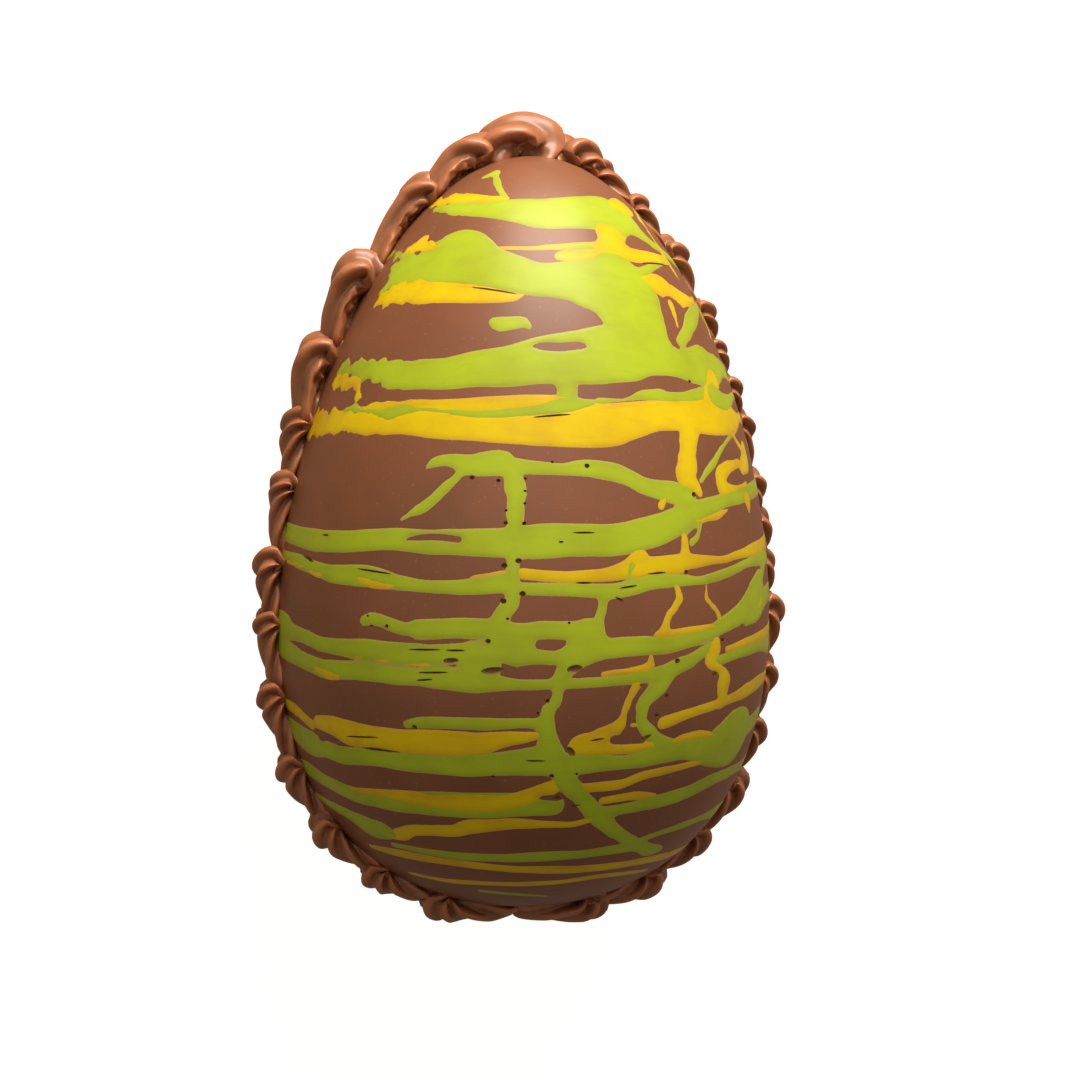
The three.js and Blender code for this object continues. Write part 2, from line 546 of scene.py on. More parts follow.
def green(*points: Point) -> Stroke:
    """A green stroke."""
    return Stroke(Colour.GREEN, points)


def yellow(*points: Point) -> Stroke:
    """A yellow stroke."""
    return Stroke(Colour.YELLOW, points)


def bare(*points: Point) -> Stroke:
    """A gap where both colours have run back from the mould."""
    return Stroke(Colour.BARE, points)


@dataclass
class DrizzledMould:
    """The coloured drizzles of one half, as a depth inside each colour over a fine grid.

    The strokes are painted in their order, so a later one covers an earlier one. The seed shifts the
    noise, so that no two halves have the same edges.
    """

    form: EggForm
    strokes: list[Stroke]
    seed: float
    cell: float = 0.58  # size of a grid cell at the widest place
    rim_longitude: float = 88.5  # the grid ends under the piping
    end_margin: float = 4.0  # from either end of the egg, over the surface
    merge: float = 0.9  # roundness of the corners where strokes of a colour meet
    tuck: float = 0.6  # how far a colour runs on under the one that lies over it
    reach: float = 3.0  # how far outside a stroke its depth is still worked out
    wobble: Layers = ((3.4, 0.24), (1.2, 0.10))  # size and depth of the waves along an edge
    wave_stretch: Point = (0.4, 1.0, 0.4)  # a wave is longer across the egg, the way most strokes run
    level_share: float = 0.35  # of the waves' depth, on a stroke that runs straight across
    steep_share: float = 1.1  # what a steep one has more, as it trickled
    most_share: float = 1.3
    tears: Layers = ((2.4, 1.3), (1.1, 0.7))  # size and depth of the tears in an edge near the seam
    torn_from: Span = (40.0, 80.0)  # longitude on the -X side, from none to full depth
    torn_above: Span = (8.0, 25.0)  # and the heights
    skirt: float = 0.65  # how far a sheet runs on outside its edge, going down into the egg
    edge_slope: float = 0.13
    proud: float = 0.05  # height of a drizzle over the milk chocolate
    sheet: float = 0.5  # its thickness
    points: Array = field(init=False, repr=False)
    own: dict[Colour, Array] = field(init=False, repr=False)  # depth inside a colour's own edge
    seen: dict[Colour, Array] = field(init=False, repr=False)  # and inside what isn't covered

    def __post_init__(self) -> None:
        """Lays out the grid and paints the strokes."""
        total = self.form.outline()[0][-1]
        self.columns = round(math.pi * self.form.radius * self.rim_longitude / 90 / self.cell)
        self.rows = round((total - 2 * self.end_margin) / self.cell)
        across = np.linspace(-self.rim_longitude, self.rim_longitude, self.columns + 1)
        down = np.linspace(total - self.end_margin, self.end_margin, self.rows + 1)
        longitude, height = np.meshgrid(across, self.form.height_along(down))
        self.points = self.form.surface(longitude.ravel(), height.ravel())
        self.waves = self.uneven(self.wobble, self.wave_stretch)
        self.torn = self.uneven(self.tears, (1, 1, 1))
        self.torn *= np.interp(-longitude.ravel(), self.torn_from, (0, 1))
        self.torn *= np.interp(self.points[:, 1], self.torn_above, (0, 1))
        self.own = {c: np.full(len(self.points), -self.reach) for c in (Colour.GREEN, Colour.YELLOW)}
        self.seen = {c: depth.copy() for c, depth in self.own.items()}
        for stroke in self.strokes:
            self.paint(stroke)

    def uneven(self, layers: Layers, stretch: Point) -> Array:
        """The uneven edge of a drizzle as layers of noise over the grid, in millimetres.

        Args:
            layers: the size and the depth of each layer.
            stretch: what the places are multiplied by along each axis.

        Returns:
            How far the edge moves at each place on the grid.
        """
        total = np.zeros(len(self.points))
        for size, depth in layers:
            places = self.points * stretch / size + self.seed
            total += 2 * depth * np.array([noise.noise(place) for place in places.tolist()])
        return total

    def paint(self, stroke: Stroke) -> None:
        """Adds one stroke to its colour and lays it over the other one.

        Args:
            stroke: the stroke.
        """
        trail, half_width = stroke.trail(self.form)
        margin = half_width.max() + self.reach
        inside = np.all((self.points > trail.min(0) - margin) & (self.points < trail.max(0) + margin), axis=1)
        near = np.flatnonzero(inside)
        depth = np.full(len(near), -self.reach)
        for start, end, wide_a, wide_b in zip(trail, trail[1:], half_width, half_width[1:]):
            run = end - start
            offset = self.points[near] - start
            share = np.clip(offset @ run / max(run @ run, WELD**2), 0, 1)
            gap = np.linalg.norm(offset - share[:, None] * run, axis=1)
            depth = np.maximum(depth, wide_a + (wide_b - wide_a) * share - gap)
        steepness = np.ptp(trail[:, 1]) / np.linalg.norm(np.diff(trail, axis=0), axis=1).sum()
        portion = min(self.most_share, self.level_share + self.steep_share * steepness)
        depth += self.waves[near] * portion + self.torn[near]
        for colour in self.own:
            if stroke.colour is colour:
                self.own[colour][near] = self.joined(self.own[colour][near], depth)
                self.seen[colour][near] = self.joined(self.seen[colour][near], depth)
            else:
                tuck = 0.0 if stroke.colour is Colour.BARE else self.tuck
                self.seen[colour][near] = np.minimum(self.seen[colour][near], tuck - depth)
                if stroke.colour is Colour.BARE:
                    self.own[colour][near] = np.minimum(self.own[colour][near], -depth)

    def joined(self, one: Array, other: Array) -> Array:
        """The deeper of two depths, with the corner between them filled."""
        closeness = np.maximum(0, 1 - np.abs(one - other) / self.merge)
        return np.maximum(one, other) + self.merge * closeness**2 / 4

    def sheet_of(self, colour: Colour, name: str) -> bpy.types.Object:
        """Makes the inlay of one colour as a thin closed sheet.

        Args:
            colour: green or yellow.
            name: the piece's name.

        Returns:
            The inlay, in the egg's frame, with the distance from its edge as an attribute.
        """
        bpy.ops.object.select_all(action="DESELECT")
        bpy.ops.mesh.primitive_grid_add(x_subdivisions=self.columns, y_subdivisions=self.rows, size=2)
        inlay = added(name)
        depth = self.seen[colour]
        lift = np.minimum(depth * self.edge_slope, self.proud)
        move_vertices(inlay, self.points + self.form.normals(self.points) * lift[:, None])
        edge = inlay.data.attributes.new("from_edge", "FLOAT", "POINT")
        edge.data.foreach_set("value", self.own[colour].astype(np.float32))
        corners = np.empty(4 * len(inlay.data.polygons), int)
        inlay.data.polygons.foreach_get("vertices", corners)
        pick(inlay, "FACE", depth[corners.reshape(-1, 4)].max(axis=1) < -self.skirt)
        bpy.ops.mesh.delete(type="FACE")
        bpy.ops.object.mode_set(mode="OBJECT")
        apply_modifier(inlay, "SOLIDIFY", thickness=self.sheet, offset=-1)
        return inlay


@dataclass
class Drizzles:
    """The green and yellow inlays of one half of the egg."""

    placement: Placement
    mould: DrizzledMould
    side: Side
    looks: dict[Colour, "Finish"]

    def build(self, holes: bpy.types.Object | None) -> list[bpy.types.Object]:
        """Makes both inlays, cuts the air holes out of them and dresses them.

        Args:
            holes: the cutters of the air holes, or None.

        Returns:
            The green and the yellow piece.
        """
        pieces = []
        for colour, look in self.looks.items():
            inlay = self.mould.sheet_of(colour, f"{colour.value}_drizzle_{self.side.name.lower()}")
            if holes:
                apply_modifier(inlay, "BOOLEAN", object=holes, operation="DIFFERENCE", solver="MANIFOLD")
            settle(inlay, self.placement.half_frame(self.side))
            if self.side is Side.BACK:
                cut_at_floor(inlay)
            dress(inlay, look)
            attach(inlay, BODY)
            pieces.append(inlay)
        return pieces


@dataclass(frozen=True)
class BackFlicks:
    """The strokes of the back half, drawn at random in the manner of the front ones.

    Bands run across the half, some with the other colour along an edge, and then a few uneven runs
    go down over them. Places are longitudes in degrees and heights in mm.
    """

    seed: int = 5
    band_heights: Point = (-68.0, 70.0, 7.2)  # from, below, and the gap between two
    band_widths: Span = (2.0, 7.5)
    band_starts: Span = (-88.0, -60.0)
    band_ends: Span = (55.0, 88.0)
    lean: float = 4.0
    stray: float = 1.0
    swell: Span = (0.45, 1.3)
    taper: tuple[float, ...] = (0.4, 0.8, 1.0, 1.0, 1.0, 0.8, 0.4)
    edged: float = 0.45  # the share of the bands with the other colour along an edge
    edge_points: int = 4
    edge_share: float = 0.6  # the edge's width, as a share of the band's
    runs: tuple[Point, ...] = ((-34.0, 38.0, -30.0), (8.0, 4.0, -66.0), (41.0, 52.0, -18.0))
    run_points: int = 9
    run_stray: float = 4.0
    run_widths: Span = (1.6, 3.4)

    def strokes(self) -> list[Stroke]:
        """Draws the strokes.

        Returns:
            The strokes, where a later one covers an earlier one.
        """
        draw = np.random.default_rng(self.seed)
        made = []
        for i, height in enumerate(np.arange(*self.band_heights)):
            colours = (yellow, green) if i % 3 == 1 else (green, yellow)
            made += self.band(draw, height, *colours)
        for longitude, top, bottom in self.runs:
            heights = np.linspace(top, bottom, self.run_points)
            longitudes = longitude + draw.normal(0, self.run_stray, self.run_points)
            widths = draw.uniform(*self.run_widths, self.run_points)
            made.append(green(*zip(longitudes, heights, widths)))
        return made

    def band(
        self,
        draw: np.random.Generator,
        height: float,
        own: Callable[..., Stroke],
        other: Callable[..., Stroke],
    ) -> list[Stroke]:
        """Draws one band.

        Args:
            draw: the source of what is random.
            height: where the middle of the band is.
            own: makes a stroke of its colour.
            other: makes a stroke of the other colour.

        Returns:
            The band, and its edge if it has one.
        """
        count = len(self.taper)
        wide = draw.uniform(*self.band_widths)
        start, end = draw.uniform(*self.band_starts), draw.uniform(*self.band_ends)
        longitudes = np.linspace(start, end, count)
        lean = draw.uniform(-self.lean, self.lean)
        heights = height + lean * np.linspace(-1, 1, count) + draw.normal(0, self.stray, count)
        widths = wide * draw.uniform(*self.swell, count) * np.array(self.taper)
        made = [own(*zip(longitudes, heights, widths))]
        if draw.random() < self.edged:
            first = draw.integers(0, count - self.edge_points + 1)
            part = slice(first, first + self.edge_points)
            edge_heights = heights[part] - widths[part] / 2
            made.append(other(*zip(longitudes[part], edge_heights, widths[part] * self.edge_share)))
        return made


# ---- The piped border ------------------------------------------------------------------------------


@dataclass(frozen=True)
class PipedStretch:
    """Where one piped shell lies on the seam, in millimetres."""

    node: str
    start: float  # distance of its head from the pointed end, over the surface
    end: float  # distance of its tail
    height: float
    sign: int  # +1 on the +X side, -1 on the other


@dataclass(frozen=True)
class StarRope:
    """A straight rope of chocolate from a star nozzle, along Z from 0 to 1 and one unit in radius.

    Its crests are narrow and the grooves between them broad. The attribute "crest" runs from 0 in
    the grooves to 1 on the crests.
    """

    ridges: int = 4
    falls: Point = (0.92, 0.82, 0.77)  # the radius from corner to corner, from a crest to a groove
    steps: int = 14
    last_share: float = 0.35  # what the last step shrinks to, so that the tail closes softly

    def build(self) -> bpy.types.Object:
        """Extrudes a star section.

        Returns:
            The closed rope, on the origin.
        """
        corners = 2 * self.ridges * len(self.falls)
        bpy.ops.object.select_all(action="DESELECT")
        bpy.ops.mesh.primitive_circle_add(vertices=corners, radius=1, fill_type="NGON")
        rope = added("star_rope")
        turns = np.arange(corners) * self.ridges / corners
        from_crest = np.abs(turns - np.round(turns)) * corners / self.ridges
        for step, fall in enumerate(self.falls):
            pick(rope, "VERT", from_crest > step + 0.5)
            bpy.ops.transform.resize(value=(fall, fall, 1), center_override=(0, 0, 0))
            bpy.ops.object.mode_set(mode="OBJECT")
        bpy.ops.object.mode_set(mode="EDIT")
        bpy.ops.mesh.select_all(action="SELECT")
        for _ in range(self.steps):
            bpy.ops.mesh.extrude_region_move(TRANSFORM_OT_translate={"value": (0, 0, 1 / self.steps)})
        bpy.ops.transform.resize(value=(self.last_share, self.last_share, 1), center_override=(0, 0, 1))
        bpy.ops.mesh.select_all(action="SELECT")
        bpy.ops.mesh.normals_make_consistent(inside=False)
        bpy.ops.object.mode_set(mode="OBJECT")
        apply_modifier(rope, "SUBSURF", levels=2, render_levels=2)
        # the crest attribute places the painted glow that the piped chocolate's material puts on the crests
        places = vertex_places(rope)
        crest = 0.5 + 0.5 * np.cos(self.ridges * np.arctan2(places[:, 0], places[:, 1]))
        rope.data.attributes.new("crest", "FLOAT", "POINT").data.foreach_set("value", crest)
        return rope


@dataclass(frozen=True)
class Swirl:
    """How the ribs of the shells on one side of the egg run."""

    twist: float  # degrees that they turn about the rope, from head to tail
    early: float  # 1 for an even turn, and more if they turn mostly in the head
    hollow: float  # how deeply the side towards the front half is hollowed, as a share of the width
    torn: float  # how rough that hollow was torn, in mm


@dataclass(frozen=True)
class ShellPath:
    """How the nozzle moves to make one shell: up out of the seam, over, and down along it.

    Each row is a share of the rope's length, then the path's distance along the seam and its height
    over the egg, both as shares of the shell's height, then the rope's thickness and its width. The
    distances of the rows after the head grow with the shell's length.
    """

    head: tuple[tuple[float, float, float, float, float], ...] = (
        (0.00, 0.80, -0.30, 0.28, 0.70),
        (0.12, 0.55, 0.02, 0.50, 0.95),
        (0.26, 0.54, 0.36, 0.60, 1.00),
        (0.42, 0.84, 0.48, 0.56, 1.00),
        (0.56, 1.15, 0.43, 0.50, 0.95),
    )
    tail: tuple[tuple[float, float, float, float, float], ...] = (
        (0.72, 0.38, 0.30, 0.44, 0.85),
        (0.88, 0.75, 0.17, 0.37, 0.74),
        (1.00, 1.00, 0.05, 0.28, 0.60),
    )

    def follow(self, share: Array, height: float, length: float) -> tuple[Array, Array, Array, Array]:
        """Works the path out for one shell.

        Args:
            share: places along the rope, from 0 to 1.
            height: the shell's height.
            length: its length along the seam.

        Returns:
            The distance along and the height of the path, and the rope's thickness and width there.
        """
        head = np.array(self.head) * [1, height, height, height, 1]
        tail = np.array(self.tail) * [1, 1, height, height, 1]
        tail[:, 1] = head[-1, 1] + (length - head[-1, 1]) * tail[:, 1]
        rows = np.vstack([head, tail])
        return tuple(ease_through(rows[:, 0], rows[:, i], share) for i in range(1, 5))


@dataclass
class PipedBorder:
    """The border of piped shells over the seam."""

    form: EggForm
    placement: Placement
    rope: StarRope
    path: ShellPath
    overlap: float = 2.5  # how far a tail runs on under the next head
    head_start: float = 0.7  # how far a head starts over the tail before it
    sink: float = 0.6  # how deep the feet sit in the egg
    base_width: float = 3.6  # half width of a shell before its height adds to it
    width_per_height: float = 0.42
    broad: Swirl = Swirl(-200.0, 2.2, 0.50, 1.5)  # the first big shells on the -X side
    tight: Swirl = Swirl(-400.0, 1.25, 0.18, 0.3)  # the ones after them
    tight_from: float = 75.0
    short: Swirl = Swirl(-330.0, 1.1, 0.0, 0.0)  # the short shells on the +X side
    hollow_place: Span = (0.50, 0.12)  # shares of a shell's length and height
    hollow_spread: Span = (0.20, 0.26)
    lump_size: float = 4.5  # of the soft swellings, as the chocolate leaves the nozzle unevenly
    lump_height: float = 0.32
    crumb_size: float = 1.7  # of the roughness in a torn hollow
    strays: tuple[float, ...] = (0.14, 0.04, 15.0, 25.0)  # in lean, drift, and degrees of turn and twist
    nudge: float = 0.01  # share of the path over which its heading is measured
    least_out: float = 0.05  # so that the seam's roundness is never worked out from nothing
    seed: int = 11

    def stretches(self) -> list[PipedStretch]:
        """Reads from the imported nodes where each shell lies.

        Returns:
            One stretch for each piped node.
        """
        along, outline = self.form.outline()
        inverse = self.placement.own_frame().inverted()
        found = []
        for name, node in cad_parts.items():
            if not name.startswith("piped_"):
                continue
            sign = 1 if name.startswith("piped_right") else -1
            places = np.array([inverse @ v.co for v in node.data.vertices])
            flat = places[:, :2] * [sign, 1]
            gaps = np.abs(flat[:, :1]) - outline[None, :, 0], flat[:, 1:] - outline[None, :, 1]
            gap = np.hypot(*gaps)
            distance = along[gap.argmin(axis=1)] * np.where(flat[:, 0] < 0, -1, 1)
            found.append(PipedStretch(name, distance.min(), distance.max(), gap.min(axis=1).max(), sign))
        return found

    def build(self, look: "Finish") -> list[bpy.types.Object]:
        """Lays a copy of the rope along each stretch of the seam.

        Args:
            look: the finish of the piping.

        Returns:
            The shells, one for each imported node.
        """
        rope = self.rope.build()
        draw = np.random.default_rng(self.seed)
        noise.seed_set(self.seed)  # or noise_vector would differ from run to run
        shells = []
        for stretch in self.stretches():
            shell = rope.copy()
            shell.data = rope.data.copy()
            shell.name = shell.data.name = stretch.node.replace("piped", "piped_shell")
            bpy.context.scene.collection.objects.link(shell)
            move_vertices(shell, self.on_seam(vertex_places(rope), stretch, draw))
            if stretch.sign < 0:
                shell.data.flip_normals()
            settle(shell, self.placement.own_frame())
            dress(shell, look)
            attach(shell, BODY)
            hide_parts(stretch.node)
            shells.append(shell)
        bpy.data.objects.remove(rope)
        return shells

    def swirl_of(self, stretch: PipedStretch) -> Swirl:
        """How the ribs of one shell run."""
        on_left = self.broad if stretch.start < self.tight_from else self.tight
        return self.short if stretch.sign > 0 else on_left

    def on_seam(self, rope: Array, stretch: PipedStretch, draw: np.random.Generator) -> Array:
        """Twists the rope, leads it along its path, makes it uneven and bends it over the seam.

        Args:
            rope: the straight rope's vertices.
            stretch: where it goes.
            draw: the source of its unevenness.

        Returns:
            The vertices in the egg's frame.
        """
        share = np.clip(rope[:, 2], 0, 1)
        swirl = self.swirl_of(stretch)
        lean, drift, phase, twist = draw.normal(0, self.strays)
        turn = np.radians(phase + (swirl.twist + twist) * (1 - (1 - share) ** swirl.early))
        across = rope[:, 0] * np.cos(turn) - rope[:, 1] * np.sin(turn)
        thick = rope[:, 0] * np.sin(turn) + rope[:, 1] * np.cos(turn)
        length = stretch.end + self.overlap + self.head_start - stretch.start
        along, up, thickness, width = self.path.follow(share, stretch.height, length)
        ahead, above, _, _ = self.path.follow(np.minimum(share + self.nudge, 1), stretch.height, length)
        behind, below, _, _ = self.path.follow(np.maximum(share - self.nudge, 0), stretch.height, length)
        heading = np.arctan2(above - below, ahead - behind)
        along = along + thick * thickness * np.sin(heading)
        up = up - thick * thickness * np.cos(heading)
        side = across * width * (self.base_width + self.width_per_height * stretch.height)
        reach = np.stack([along / length, up / stretch.height], axis=-1)
        within = (((reach - self.hollow_place) / self.hollow_spread) ** 2).sum(axis=1)
        in_hollow = np.exp(-within)
        side = side * (1 - swirl.hollow * in_hollow * (side > 0))
        side = side + lean * up + drift * along
        places, shift = np.stack([side, along, up], axis=-1), draw.uniform(0, 100)
        torn = swirl.torn * in_hollow * np.clip(2 * across, 0, 1)
        lumps = self.lump_height * self.stray(places, self.lump_size, shift)
        lumps += torn[:, None] * self.stray(places, self.crumb_size, shift)
        side, along, up = side + lumps[:, 0], along + lumps[:, 1], up + lumps[:, 2]
        return self.bend_over(stretch, along, side, up - self.sink)

    def stray(self, places: Array, size: float, shift: float) -> Array:
        """How far the chocolate strays at each place, in swellings of one size."""
        return np.array([noise.noise_vector(place) for place in (places / size + shift).tolist()])

    def bend_over(self, stretch: PipedStretch, along: Array, side: Array, up: Array) -> Array:
        """Takes places along, across and over the seam to the egg's frame.

        Args:
            stretch: the shell's stretch of the seam.
            along: distances from its head.
            side: distances across, towards the front half.
            up: heights over the egg's surface.

        Returns:
            One row of x, y, z each.
        """
        distance, outline = self.form.outline()
        signed = stretch.start - self.head_start + along
        point = np.stack([np.interp(np.abs(signed), distance, outline[:, i]) for i in range(3)], axis=-1)
        normal = self.form.normals(point)
        flip = np.where(signed < 0, -1, 1) * stretch.sign
        point[:, 0] *= flip
        normal[:, 0] *= flip
        out = np.maximum(np.abs(normal[:, 0]), self.least_out)
        curvature = np.maximum(np.abs(point[:, 0]) / out, 2 * np.abs(side).max())
        drop = curvature - np.sqrt(np.maximum(curvature**2 - side**2, 0))
        place = point + normal * (up - drop)[:, None]
        place[:, 2] = side
        return place


# ---- The drizzles of the front half, in the order in which they cover each other ---------------
#
# Each point is a longitude in degrees, a height in mm and the stroke's width in mm.

